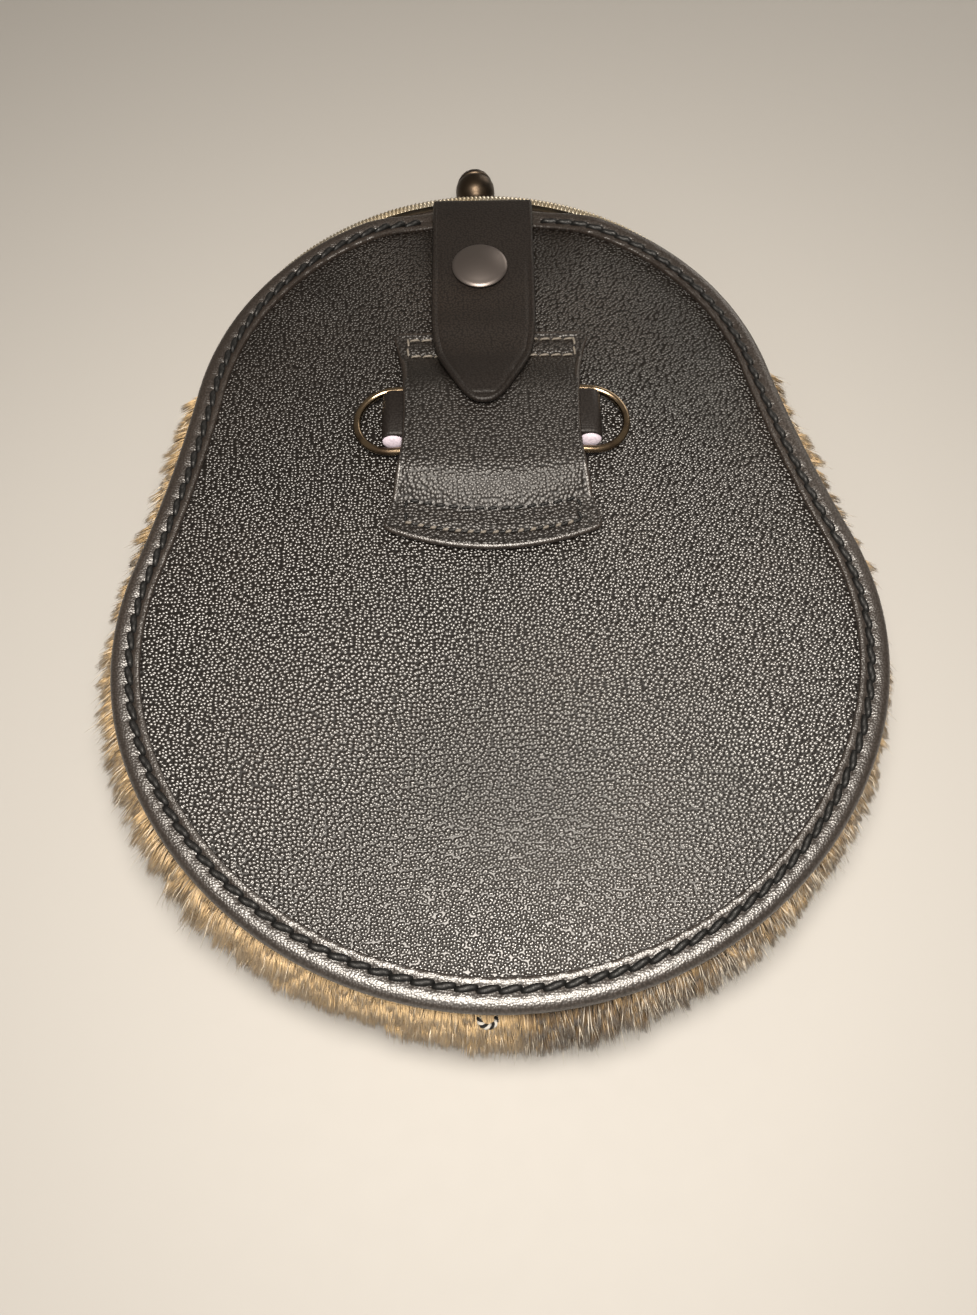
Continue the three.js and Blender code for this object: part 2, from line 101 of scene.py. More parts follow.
# Camera of the photograph: where it stands, what it looks at, its roll and lens
CAMERA = {
    "at": (-5.573, -133.99, 244.79),
    "to": (-2.801, -42.54, 33.0),
    "roll": math.radians(-1.385),
    "focal_px": 1005.63,
    "long_side_px": 1315,
    "sensor": 36.0,
}


def linear(code):
    """Linear red, green, blue and alpha of an sRGB hex colour."""
    channels = [int(code[i : i + 2], 16) / 255 for i in (1, 3, 5)]
    return [c / 12.92 if c <= 0.04045 else ((c + 0.055) / 1.055) ** 2.4 for c in channels] + [1.0]


def length(name, mm, description):
    """A property that holds a length, given in millimetres."""
    return bpy.props.FloatProperty(
        name=name, description=description, default=mm * MM, precision=5, subtype="DISTANCE", unit="LENGTH"
    )


def colour(name, code, description):
    """A property that holds a colour, given as an sRGB hex value."""
    return bpy.props.FloatVectorProperty(
        name=name, description=description, default=linear(code), size=4, min=0, max=1, subtype="COLOR"
    )


class SporranSizes(bpy.types.PropertyGroup):
    """Sizes of the details that dress the pouch."""

    grain: length("Grain", 0.78, "Width of one pebble of the leather's grain")
    edge_stitch: length("Edge stitch", 4.65, "Length of one stitch along the binding")
    edge_thread: length("Edge thread", 1.75, "Thickness of the twisted thread of the binding")
    loop_stitch: length("Loop stitch", 3.05, "Length of one stitch on the belt loop")
    loop_thread: length("Loop thread", 0.8, "Thickness of the thread on the belt loop")
    rim_ridge: length("Rim ridge", 1.2, "Spacing of the milled ridges on the metal rim")
    ring_wire: length("Ring wire", 2.0, "Thickness of the D rings' wire")
    hair: length("Hair", 7.4, "Length of the fur on the sides")
    hair_width: length("Hair width", 0.3, "Width of one strand of fur at its root")
    strands: bpy.props.IntProperty(
        name="Strands", description="Strands of fur on each quarter of the sides", default=17500, min=100
    )


class SporranColours(bpy.types.PropertyGroup):
    """Colours of the pouch's materials."""

    leather: colour("Leather", "#0f0c0a", "Pebbled leather of the back")
    # Paler crowns of the leather: partly rubbed wear, partly painted highlight
    leather_worn_and_highlit: colour("Worn leather", "#2a221c", "Rubbed edges and high spots of the leather")
    binding: colour("Binding", "#1d1713", "Smooth leather of the binding")
    # Paler crowns of the binding: partly rubbed wear, partly painted highlight
    binding_worn_and_highlit: colour("Worn binding", "#382e27", "Rubbed high spots of the binding")
    tab: colour("Tab", "#120e0c", "Smooth leather of the closing tab")
    thread: colour("Thread", "#050505", "Waxed thread of the binding")
    # Rubbed thread at the loop's top, and painted highlights as the pale stitches at its foot
    thread_pale_and_glint: colour("Pale thread", "#655f57", "Rubbed thread of the belt loop")
    # Pale lavender-white of the strap's cut ends: a painted highlight
    cut_edge_highlight: colour("Cut edge", "#cfc6d2", "Raw cut end of the ring strap")
    hair_light: colour("Light hair", "#d6bb90", "Palest strands of the fur")
    hair_mid: colour("Tan hair", "#967a50", "Common colour of the fur")
    hair_dark: colour("Dark hair", "#2e2012", "Brown strands and roots of the fur")
    hair_silver: colour("Silver hair", "#e6dfd0", "Silver-tipped guard hairs")
    plate: colour("Plate", "#e3dac8", "Silvery plate of the cantle")
    nickel: colour("Dark nickel", "#4c4439", "Dark nickel of the press stud")
    knob: colour("Dark brass", "#463c32", "Darkened brass of the knob")
    bronze: colour("Bronze", "#94826a", "Bronze wire of the rings")
    floor: colour("Floor", "#a3a19e", "Pale studio floor")


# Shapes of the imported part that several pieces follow


def smooth_step(x, low, high):
    t = np.clip((np.asarray(x, float) - low) / (high - low), 0, 1)
    return t * t * (3 - 2 * t)


def hump(distance, middle, spread):
    """A smooth rise to 1 at its middle, and down again on both sides."""
    return np.exp(-((distance - middle) ** 2) / spread)


def edge_arcs():
    """The four arcs of one side from the foot to the top: centre, radius, first and last angle, sense."""
    drop = HIP["y"] - FOOT_Y
    foot_r = (HIP["x"] ** 2 + drop**2 - HIP["r"] ** 2) / (2 * (drop - HIP["r"]))
    foot = np.array((0, FOOT_Y + foot_r))
    hip = np.array((HIP["x"], HIP["y"]))
    head = np.array((0, HEAD["y"]))
    far_head, far_hip = HEAD["r"] + WAIST_R, HIP["r"] + WAIST_R
    across = hip - head
    apart = np.hypot(*across)
    along = (far_head**2 - far_hip**2 + apart**2) / (2 * apart)
    aside = np.array((-across[1], across[0])) / apart
    waist = head + across / apart * along + aside * math.sqrt(far_head**2 - along**2)
    to_hip = math.atan2(*(hip - foot)[::-1])
    from_hip = math.atan2(*(waist - hip)[::-1])
    from_head = math.atan2(*(waist - head)[::-1])
    return [
        (foot, foot_r, -math.pi / 2, to_hip, 1),
        (hip, HIP["r"], to_hip, from_hip, 1),
        (waist, WAIST_R, from_hip + math.pi, from_head + math.pi, -1),
        (head, HEAD["r"], from_head, math.pi / 2, 1),
    ]


EDGE_ARCS = edge_arcs()
HALF_EDGE = sum(abs(stop - start) * r for _, r, start, stop, _ in EDGE_ARCS)


def edge_line(share):
    """Points of the leather's edge and outward directions, at shares of its length from the foot."""
    share = np.mod(np.asarray(share, float), 1.0)
    left = share > 0.5
    run = np.where(left, 1 - share, share) * 2 * HALF_EDGE
    at, out = np.zeros((len(run), 2)), np.zeros((len(run), 2))
    done = 0.0
    for centre, r, start, stop, turn in EDGE_ARCS:
        arc = abs(stop - start) * r
        here = (run >= done - 1e-9) & (run <= done + arc + 1e-6)
        angle = start + (stop - start) * (run[here] - done) / arc
        ray = np.stack((np.cos(angle), np.sin(angle)), 1)
        at[here], out[here] = centre + r * ray, turn * ray
        done += arc
    side = np.where(left, -1, 1)
    at[:, 0] *= side
    out[:, 0] *= side
    return at, out


def pull(at, out):
    """How far the closing tab pulls the leather down, out being negative inside the edge."""
    along = 1 - smooth_step(np.abs(at[:, 0] - PULL["x"]), PULL["flat"], PULL["end"])
    return np.where(at[:, 1] > 0, PULL["depth"] * along * np.maximum(0, 1 + out / PULL["reach"]), 0)


def swell(at):
    return SWELL["more"] * smooth_step(at[:, 1], SWELL["from"], SWELL["to"])


def framed(flat, z):
    """Points of the outline's own plane with heights, moved to the frame, in millimetres."""
    z = np.broadcast_to(z, flat.shape[:-1])
    return np.stack((flat[..., 0], flat[..., 1] + SHIFT_Y, z), -1)


def sewn(u, v, w):
    """Points on the sewn-on pieces: across, along and above the back, in millimetres."""
    u, v, w = np.broadcast_arrays(*(np.asarray(x, float) for x in (u, v, w)))
    c, s = math.cos(SEWN["turn"]), math.sin(SEWN["turn"])
    flat = np.stack((SEWN["x"] + u * c - v * s, SEWN["y"] + u * s + v * c), -1)
    return framed(flat, BACK_Z + w)


# Ways of modelling

# Points nearer than this many millimetres are merged, and edges turned more than this stay sharp
WELD = 0.002
SHARP = math.radians(40)


def clear_selection():
    if bpy.context.object and bpy.context.object.mode != "OBJECT":
        bpy.ops.object.mode_set(mode="OBJECT")
    bpy.ops.object.select_all(action="DESELECT")


def closed_up(piece, capped=False):
    """Merges doubles, fills open ends, turns the faces out and smooths all but sharp edges."""
    bpy.ops.object.mode_set(mode="EDIT")
    bpy.ops.mesh.select_all(action="SELECT")
    bpy.ops.mesh.remove_doubles(threshold=WELD * MM)
    if capped:
        bpy.ops.mesh.fill_holes(sides=0)
        bpy.ops.mesh.select_all(action="SELECT")
    bpy.ops.mesh.normals_make_consistent(inside=False)
    bpy.ops.object.mode_set(mode="OBJECT")
    bpy.ops.object.shade_smooth_by_angle(angle=SHARP)
    return piece


def swept(name, rings, loop=False, capped=False):
    """A ring of edges extruded from section to section. Rings are in millimetres, [section][point]."""
    rings = np.asarray(rings, float)
    if loop:
        rings = np.concatenate((rings, rings[:1]))
    count, around = rings.shape[:2]
    clear_selection()
    bpy.ops.mesh.primitive_circle_add(vertices=around, radius=MM)
    piece = bpy.context.object
    piece.name = piece.data.name = name
    order = piece.data.attributes.new("station", "INT", "POINT")
    order.data.foreach_set("value", np.arange(around, dtype=np.int32))
    bpy.ops.object.mode_set(mode="EDIT")
    bpy.ops.mesh.select_all(action="SELECT")
    for _ in range(count - 1):
        bpy.ops.mesh.extrude_edges_move()
    bpy.ops.object.mode_set(mode="OBJECT")
    station = np.zeros(count * around, np.int32)
    piece.data.attributes["station"].data.foreach_get("value", station)
    section = np.repeat(np.arange(count), around)
    piece.data.vertices.foreach_set("co", (rings[section, station] * MM).ravel())
    piece.data.attributes.remove(piece.data.attributes["station"])
    return closed_up(piece, capped)


def slab(name, top, thick, rounding):
    """A sheet of leather whose upper face goes through a grid of points, with rounded cut edges."""
    rows, across = top.shape[:2]
    clear_selection()
    bpy.ops.mesh.primitive_grid_add(x_subdivisions=across - 1, y_subdivisions=rows - 1, size=MM)
    piece = bpy.context.object
    piece.name = piece.data.name = name
    piece.data.vertices.foreach_set("co", (top * MM).ravel())
    wall = piece.modifiers.new("Thickness", "SOLIDIFY")
    wall.thickness = thick * MM
    wall.offset = -1
    edges = piece.modifiers.new("Cut edges", "BEVEL")
    edges.width = rounding * MM
    edges.segments = 3
    edges.limit_method = "ANGLE"
    edges.angle_limit = math.radians(50)
    for modifier in ("Thickness", "Cut edges"):
        bpy.ops.object.modifier_apply(modifier=modifier)
    return closed_up(piece)


def tube_rings(path, radius, sides, loop=False):
    """Round sections along a path of points, which all lean the same way."""
    path = np.asarray(path, float)
    if loop:
        along = np.roll(path, -1, 0) - np.roll(path, 1, 0)
    else:
        along = np.gradient(path, axis=0)
    along /= np.linalg.norm(along, axis=1, keepdims=True)
    level = np.cross(along, (0, 0, 1.0))
    level /= np.linalg.norm(level, axis=1, keepdims=True)
    above = np.cross(level, along)
    turn = np.arange(sides) / sides * 2 * math.pi
    radius = np.broadcast_to(radius, len(path))[:, None, None]
    spoke = level[:, None] * np.cos(turn)[None, :, None] + above[:, None] * np.sin(turn)[None, :, None]
    return path[:, None] + radius * spoke


def lathe_rings(profile, centre, axis, sides):
    """Round sections of a turned piece: rows of height and radius along an axis."""
    axis = np.array(axis, float)
    first = np.cross(axis, (1.0, 0.0, 0.0))
    second = np.cross(axis, first)
    turn = np.arange(sides) / sides * 2 * math.pi
    spoke = np.outer(np.cos(turn), first) + np.outer(np.sin(turn), second)
    return [np.array(centre) + axis * height + max(r, 0) * spoke for height, r in profile]


def curve_through(rows, count):
    """Rows of numbers brought to an even count along a smooth curve through them."""
    rows = np.asarray(rows, float)
    knots = np.linspace(0, len(rows) - 1, count)
    i = np.minimum(knots.astype(int), len(rows) - 2)
    t = (knots - i)[:, None]
    padded = np.concatenate((2 * rows[:1] - rows[1:2], rows, 2 * rows[-1:] - rows[-2:-1]))
    a, b, c, d = (padded[i + k] for k in range(4))
    return 0.5 * (2 * b + (c - a) * t + (2 * a - 5 * b + 4 * c - d) * t**2 + (3 * b - a - 3 * c + d) * t**3)


def mesh_of(name, points, corners, sides):
    """A new smooth object from points in metres, the faces' corners in turn and their numbers of sides."""
    mesh = bpy.data.meshes.new(name)
    mesh.vertices.add(len(points))
    mesh.vertices.foreach_set("co", np.asarray(points, np.float32).ravel())
    mesh.loops.add(len(corners))
    mesh.loops.foreach_set("vertex_index", np.asarray(corners, np.int32))
    mesh.polygons.add(len(sides))
    mesh.polygons.foreach_set("loop_start", (np.cumsum(sides) - sides).astype(np.int32))
    mesh.update(calc_edges=True)
    mesh.validate()
    mesh.shade_smooth()
    piece = bpy.data.objects.new(name, mesh)
    bpy.context.scene.collection.objects.link(piece)
    return piece


def copies(name, pattern, places):
    """One mesh of a pattern repeated: each place is an origin with its along, across and up axes."""
    mesh = pattern.data
    shape = np.array([v.co for v in mesh.vertices])
    corners = np.array([loop.vertex_index for loop in mesh.loops])
    sides = np.array([face.loop_total for face in mesh.polygons])
    places = np.asarray(places, float)
    points = places[:, None, 0] * MM + np.einsum("vk,nkx->nvx", shape, places[:, 1:])
    shift = np.arange(len(places))[:, None] * len(shape)
    piece = mesh_of(name, points.reshape(-1, 3), (corners[None] + shift).ravel(), np.tile(sides, len(places)))
    bpy.data.objects.remove(pattern)
    return piece


def dress(piece, material, body="pouch", replaces=()):
    """Gives a piece its finish and the body that carries it."""
    piece.data.materials.clear()
    piece.data.materials.append(material)
    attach(piece, body)
    if replaces:
        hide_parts(*replaces)
    return piece


# Materials
# In a Map Range node, sockets 1 and 2 are the range that it reads and 3 and 4 the range that it gives.
# In a Mix node, sockets 6 and 7 are its two colours.


def node(tree, kind, sockets=None, **settings):
    """Adds a shader node with its settings, and fills or links its sockets."""
    made = tree.nodes.new("ShaderNode" + kind)
    for key, value in settings.items():
        setattr(made, key, value)
    for key, value in (sockets or {}).items():
        if isinstance(value, bpy.types.NodeSocket):
            tree.links.new(value, made.inputs[key])
        else:
            made.inputs[key].default_value = value
    return made


def material_of(name, build):
    """The material of this name. A new one is built by a function of its tree and Object coordinates."""
    material = bpy.data.materials.get(name)
    if material:
        return material
    material = bpy.data.materials.new(name)
    material.use_nodes = True
    tree = material.node_tree
    tree.nodes.clear()
    output = tree.nodes.new("ShaderNodeOutputMaterial")
    surface = build(tree, node(tree, "TexCoord").outputs["Object"])
    tree.links.new(surface.outputs[0], output.inputs[0])
    return material


# Leather: width of the patches that handling leaves, and width and swing of the wander in the grain's lie
HANDLED = 38.0
GRAIN_WANDER = 60.0
GRAIN_SWING = 5.0

# Stretch along the back over which painted shade dims the leather's reflection towards the top
PAINTED_TOP_SHADE = {"low": -105.0, "high": 45.0}


def leather(name, dark, worn, grain, relief, gloss, shine, shaded_crease_shine, stretch, ior=1.5, shaded_top_shine=1.0):
    """Pigmented leather: rounded pebbles that each catch a spot of light, paler on the crowns in places as
    rubbed wear and painted highlight.

    Grain and relief are a pebble's width and height in millimetres, and stretch draws it out across the
    back. Gloss is the roughness, and shine the reflection on the crowns. The creases and the top of the
    back keep shares of it, the crease shine and the top shine: painted shade in the creases, and painted
    shade that weakens the reflection towards the top of the back.
    """

    def build(tree, place):
        # The grain's lie wanders, as it does across a skin
        drift = node(tree, "TexNoise", {"Vector": place, "Scale": 1 / (GRAIN_WANDER * MM), "Detail": 1.0})
        centred = node(
            tree, "VectorMath", {0: drift.outputs["Color"], 1: (0.5, 0.5, 0.5)}, operation="SUBTRACT"
        )
        swing = node(
            tree, "VectorMath", {0: centred.outputs[0], "Scale": GRAIN_SWING * MM}, operation="SCALE"
        )
        moved = node(tree, "VectorMath", {0: place, 1: swing.outputs[0]}, operation="ADD")
        lie = node(tree, "Mapping", {"Vector": moved.outputs[0], "Scale": (stretch, 1.0, 1.0)})
        pebble = node(
            tree,
            "TexVoronoi",
            {"Vector": lie.outputs[0], "Scale": 1 / (grain * MM), "Randomness": 0.85},
            voronoi_dimensions="2D",
        )
        crown = node(
            tree,
            "MapRange",
            {0: pebble.outputs["Distance"], 1: 0.05, 2: 0.72, 3: 1.0, 4: 0.0},
            interpolation_type="SMOOTHSTEP",
        )
        bump = node(tree, "Bump", {"Strength": 1.0, "Distance": relief * MM, "Height": crown.outputs[0]})
        # Handling leaves broad paler and duller patches
        handled = node(tree, "TexNoise", {"Vector": place, "Scale": 1 / (HANDLED * MM), "Detail": 2.0})
        rub = node(tree, "MapRange", {0: handled.outputs[0], 1: 0.35, 2: 0.75, 3: 0.1, 4: 0.6})
        # The crowns are paler than the creases: partly rubbed wear, partly painted highlight on the crowns
        # and painted shade in the creases
        high = node(tree, "Math", {0: rub.outputs[0], 1: crown.outputs[0]}, operation="MULTIPLY")
        tint = node(tree, "Mix", {"Factor": high.outputs[0], 6: dark, 7: worn}, data_type="RGBA")
        dull = node(
            tree, "MapRange", {0: handled.outputs[0], 1: 0.3, 2: 0.7, 3: gloss - 0.02, 4: gloss + 0.03}
        )
        # The pebbles' crowns are polished, and the creases between them stay dull
        # Painted shade in the creases: they reflect less than the pebbles' crowns
        painted_crease_shade = node(tree, "MapRange", {0: crown.outputs[0], 1: 0.1, 2: 0.8, 3: shaded_crease_shine, 4: 1.0})
        # Painted shade towards the top: the reflection grows weaker up the back
        along = node(tree, "SeparateXYZ", {0: place}).outputs["Y"]
        low, high_end = PAINTED_TOP_SHADE["low"] * MM, PAINTED_TOP_SHADE["high"] * MM
        painted_top_fade = node(tree, "MapRange", {0: along, 1: low, 2: high_end, 3: 1.0, 4: shaded_top_shine})
        # Painted shade of the creases and of the top of the back, carried by the specular tint
        sheen = node(tree, "Math", {0: painted_crease_shade.outputs[0], 1: painted_top_fade.outputs[0]}, operation="MULTIPLY")
        return node(
            tree,
            "BsdfPrincipled",
            {
                "Base Color": tint.outputs[2],
                "Roughness": dull.outputs[0],
                "Normal": bump.outputs[0],
                "Specular IOR Level": shine,
                "Specular Tint": sheen.outputs[0],
                "IOR": ior,
            },
        )

    return material_of(name, build)


def pebbled_cowhide(colours, sizes):
    """Cowhide with a pressed pebble grain and a satin finish: painted shade dims its reflection in the
    creases and towards the top, so it glitters most low on the back.
    """
    return leather(
        "pebbled_cowhide",
        colours.leather,
        colours.leather_worn_and_highlit,
        grain=sizes.grain / MM,
        relief=0.18,
        gloss=0.33,
        shine=1.0,
        # Painted shade: the creases and the top of the back reflect less
        shaded_crease_shine=0.38,
        stretch=0.85,
        ior=1.71,
        shaded_top_shine=0.42,
    )


def dull_cowhide(colours, sizes):
    """The same hide with less finish: the belt loop is darker and only its slopes shine."""
    return leather(
        "dull_cowhide",
        colours.leather,
        colours.leather_worn_and_highlit,
        grain=sizes.grain / MM,
        relief=0.12,
        gloss=0.4,
        shine=0.7,
        # Painted shade: the creases reflect less
        shaded_crease_shine=0.55,
        stretch=0.85,
    )


def dull_calf(colours):
    """Fine calf, dyed through and hardly finished: the tab and strap look nearly black and soft."""
    return leather(
        "dull_calf",
        colours.tab,
        colours.leather_worn_and_highlit,
        grain=0.6,
        relief=0.03,
        gloss=0.5,
        shine=0.35,
        # Painted shade: the creases reflect less
        shaded_crease_shine=0.7,
        stretch=0.9,
    )


def smooth_calf(colours):
    """Fine calf with a waxed finish: the binding's roll carries a broad bright line of light."""
    return leather(
        "smooth_calf",
        colours.binding,
        colours.binding_worn_and_highlit,
        grain=0.55,
        relief=0.045,
        gloss=0.37,
        shine=1.0,
        # Painted shade: the creases and the top of the back reflect less
        shaded_crease_shine=0.8,
        stretch=0.9,
        ior=1.65,
        shaded_top_shine=0.6,
    )


def waxed_thread(name, tone):
    """Twisted linen thread with wax on it: matt fibres with small glints along each ply."""

    def build(tree, place):
        # Single fibres are too fine to show, so they are drawn a quarter of a millimetre wide
        fibre = node(tree, "TexNoise", {"Vector": place, "Scale": 1 / (0.25 * MM), "Detail": 3.0})
        fuzz = node(tree, "Bump", {"Strength": 0.6, "Distance": 0.06 * MM, "Height": fibre.outputs[0]})
        wax = node(tree, "MapRange", {0: fibre.outputs[0], 1: 0.35, 2: 0.65, 3: 0.4, 4: 0.7})
        return node(
            tree,
            "BsdfPrincipled",
            {
                "Base Color": tone,
                "Roughness": wax.outputs[0],
                "Normal": fuzz.outputs[0],
                "Specular IOR Level": 0.4,
            },
        )

    return material_of(name, build)


def metal(name, tone, shade, gloss, spots):
    """Polished metal under a film of handling marks and tarnish, in spots of a width in millimetres."""

    def build(tree, place):
        marks = node(tree, "TexNoise", {"Vector": place, "Scale": 1 / (spots * MM), "Detail": 4.0})
        film = node(tree, "MapRange", {0: marks.outputs[0], 1: 0.42, 2: 0.7})
        tint = node(tree, "Mix", {"Factor": film.outputs[0], 6: tone, 7: shade}, data_type="RGBA")
        scuff = node(
            tree, "MapRange", {0: marks.outputs[0], 1: 0.3, 2: 0.7, 3: gloss - 0.06, 4: gloss + 0.14}
        )
        # Polishing marks are too fine to show, so they are drawn 0.4 mm wide
        fine = node(tree, "TexNoise", {"Vector": place, "Scale": 1 / (0.4 * MM), "Detail": 2.0})
        bump = node(tree, "Bump", {"Strength": 0.5, "Distance": 0.012 * MM, "Height": fine.outputs[0]})
        return node(
            tree,
            "BsdfPrincipled",
            {
                "Base Color": tint.outputs[2],
                "Metallic": 1.0,
                "Roughness": scuff.outputs[0],
                "Normal": bump.outputs[0],
            },
        )

    return material_of(name, build)


def plated_brass(colours):
    """Silver-plated brass: bright and warm, with yellow patches where the plate has worn thin."""
    return metal("plated_brass", colours.plate, linear("#bcab8b"), gloss=0.28, spots=14.0)


def dark_nickel(colours):
    """Black nickel plate on steel: a dim mirror with a brighter edge."""
    return metal("dark_nickel", colours.nickel, linear("#383129"), gloss=0.27, spots=3.0)


def dark_brass(colours):
    """Turned brass, darkened by age: brown, with soft highlights."""
    return metal("dark_brass", colours.knob, linear("#2b251f"), gloss=0.4, spots=4.0)


def bronze_wire(colours):
    """Drawn bronze wire: thin pale lights along a brown wire."""
    return metal("bronze_wire", colours.bronze, linear("#55473a"), gloss=0.2, spots=4.0)


def matt_fibres(name, first, second, width, depth, strength, rough, detail=3.0, lie=(1.0, 1.0, 1.0)):
    """Matt fibres in two tones, in bundles because a single fibre is too fine to show.

    The bundles' width and depth are in millimetres, and lie draws them out.
    """

    def build(tree, place):
        drawn = node(tree, "Mapping", {"Vector": place, "Scale": lie})
        fibre = node(
            tree, "TexNoise", {"Vector": drawn.outputs[0], "Scale": 1 / (width * MM), "Detail": detail}
        )
        shade = node(tree, "Mix", {"Factor": fibre.outputs[0], 6: first, 7: second}, data_type="RGBA")
        nap = node(tree, "Bump", {"Strength": strength, "Distance": depth * MM, "Height": fibre.outputs[0]})
        return node(
            tree,
            "BsdfPrincipled",
            {"Base Color": shade.outputs[2], "Roughness": rough, "Normal": nap.outputs[0]},
        )

    return material_of(name, build)


def highlit_cut_leather(colours):
    """Cut end of folded leather, pale as a painted highlight, with quite matt fibres."""
    return matt_fibres(
        "highlit_cut_leather", colours.cut_edge_highlight, linear("#8d8390"), width=0.5, depth=0.1, strength=0.7, rough=0.6
    )


def undercoat(colours):
    """Dense short wool under the hair: brown, matt and streaked along the lie of the hair."""
    return matt_fibres(
        "undercoat",
        colours.hair_dark,
        colours.hair_mid,
        width=0.7,
        depth=0.5,
        strength=1.0,
        rough=0.85,
        lie=(1.0, 0.2, 1.0),
    )


def suede_and_shade():
    """Flesh side of the hide, inside the pouch: dark, partly as a lining and partly as painted shade in the
    mouth, matt and slightly mottled.
    """
    return matt_fibres(
        "suede_and_shade",
        # Dark partly as painted shade, where the gap of the mouth shows it
        linear("#17110d"),
        linear("#2a2019"),
        width=1.2,
        depth=0.12,
        strength=0.6,
        rough=0.9,
        detail=4.0,
    )


def fur_hair(colours):
    """Short hair of the hide: darker towards the roots, tan lengths, pale tips and a silky sheen.

    Each strand's attribute holds its tone, the share of its length, and how silvery it is.
    """

    def build(tree, place):
        strand = node(tree, "Attribute", attribute_name="strand")
        tone, along, silver = node(tree, "SeparateColor", {0: strand.outputs["Color"]}).outputs
        shades = node(
            tree, "Mix", {"Factor": tone, 6: colours.hair_mid, 7: colours.hair_light}, data_type="RGBA"
        )
        # Each strand is darkened towards its root
        depth = node(tree, "MapRange", {0: along, 1: 0.0, 2: 0.55, 3: 1.0, 4: 0.0})
        dark = node(tree, "MapRange", {0: tone, 1: 0.0, 2: 0.45, 3: 0.75, 4: 0.0})
        brown = node(
            tree,
            "Math",
            {0: depth.outputs[0], 1: 0.42, 2: dark.outputs[0]},
            operation="MULTIPLY_ADD",
            use_clamp=True,
        )
        rooted = node(
            tree,
            "Mix",
            {"Factor": brown.outputs[0], 6: shades.outputs[2], 7: colours.hair_dark},
            data_type="RGBA",
        )
        tipped = node(
            tree, "Mix", {"Factor": silver, 6: rooted.outputs[2], 7: colours.hair_silver}, data_type="RGBA"
        )
        return node(
            tree,
            "BsdfPrincipled",
            {
                "Base Color": tipped.outputs[2],
                "Roughness": 0.48,
                "Sheen Weight": 0.2,
                "Specular IOR Level": 0.5,
            },
        )

    return material_of("fur_hair", build)


def painted_board(colours):
    """Painted board of the studio floor: pale and even, with hardly any gloss."""

    def build(tree, place):
        # The roller left faint marks about 6 mm wide
        speck = node(tree, "TexNoise", {"Vector": place, "Scale": 1 / (6 * MM), "Detail": 2.0})
        shade = node(tree, "MapRange", {0: speck.outputs[0], 3: 0.6, 4: 0.68})
        return node(tree, "BsdfPrincipled", {"Base Color": colours.floor, "Roughness": shade.outputs[0]})

    return material_of("painted_board", build)


# Leather back, binding and edge stitching

# Back: middle of its rings of faces, points round the edge, rings on the upper face and shares of the
# way out of those underneath, rounded corner, and height of the waves in it
BACK = {"middle": (0.0, -12.0), "around": 240, "rings": 26, "corner": 0.4, "wave": 0.07}
BACK_UNDER = (1, 0.85, 0.7, 0.4, 0)

# Binding: reach of its fold, gap to the back, points along one stitch, how deep a stitch draws it in,
# and two unevennesses of its lie
BINDING = {"fold": 2.3, "gap": 0.06, "per_stitch": 8, "draw": 0.3, "slack": (0.05, 0.04)}

# Edge stitches: how deep they sit, length beside the spacing, height, slant, and where the tab hides them
EDGE_STITCH = {"sink": 0.42, "overlap": 1.16, "arch": 1.05, "slant": 0.5}
TAB_HIDES = {"x": 2.2, "half": 15.5, "above": 60.0}


def stitch_count(sizes):
    return round(2 * HALF_EDGE * MM / sizes.edge_stitch)


def leather_back(colours, sizes):
    """The back: a grained panel that dips under the tab and is not quite flat."""
    around, corner = BACK["around"], BACK["corner"]
    at, out = edge_line(np.arange(around) / around)
    edge = at - EDGE_INSET * out
    centre = np.array(BACK["middle"])
    rows = []
    for f in np.linspace(0, 1, BACK["rings"] + 1):
        flat = centre + (edge - centre) * f
        inside = -np.linalg.norm(at - flat, axis=1)
        # It waves where neither the seam nor the belt loop holds it
        free = smooth_step(-inside, 9, 26) * smooth_step(-flat[:, 1], 2, 22)
        x, y = flat.T
        wave = np.sin(x / 13 + 0.8 * np.sin(y / 19)) + np.sin(y / 16 - x / 33)
        rows.append(framed(flat, BACK_Z - pull(at, inside) + BACK["wave"] * free * wave))
    fall = pull(at, -EDGE_INSET)
    rim = at - (EDGE_INSET - corner) * out
    rows.append(framed(rim, BACK_Z - corner - fall))
    rows.append(framed(rim, BACK_Z - PANEL_T + corner - fall))
    for f in BACK_UNDER:
        flat = centre + (edge - centre) * f
        rows.append(framed(flat, BACK_Z - PANEL_T - pull(at, -np.linalg.norm(at - flat, axis=1))))
    piece = swept("leather_back", rows)
    return dress(piece, pebbled_cowhide(colours, sizes), replaces=["back_panel"])


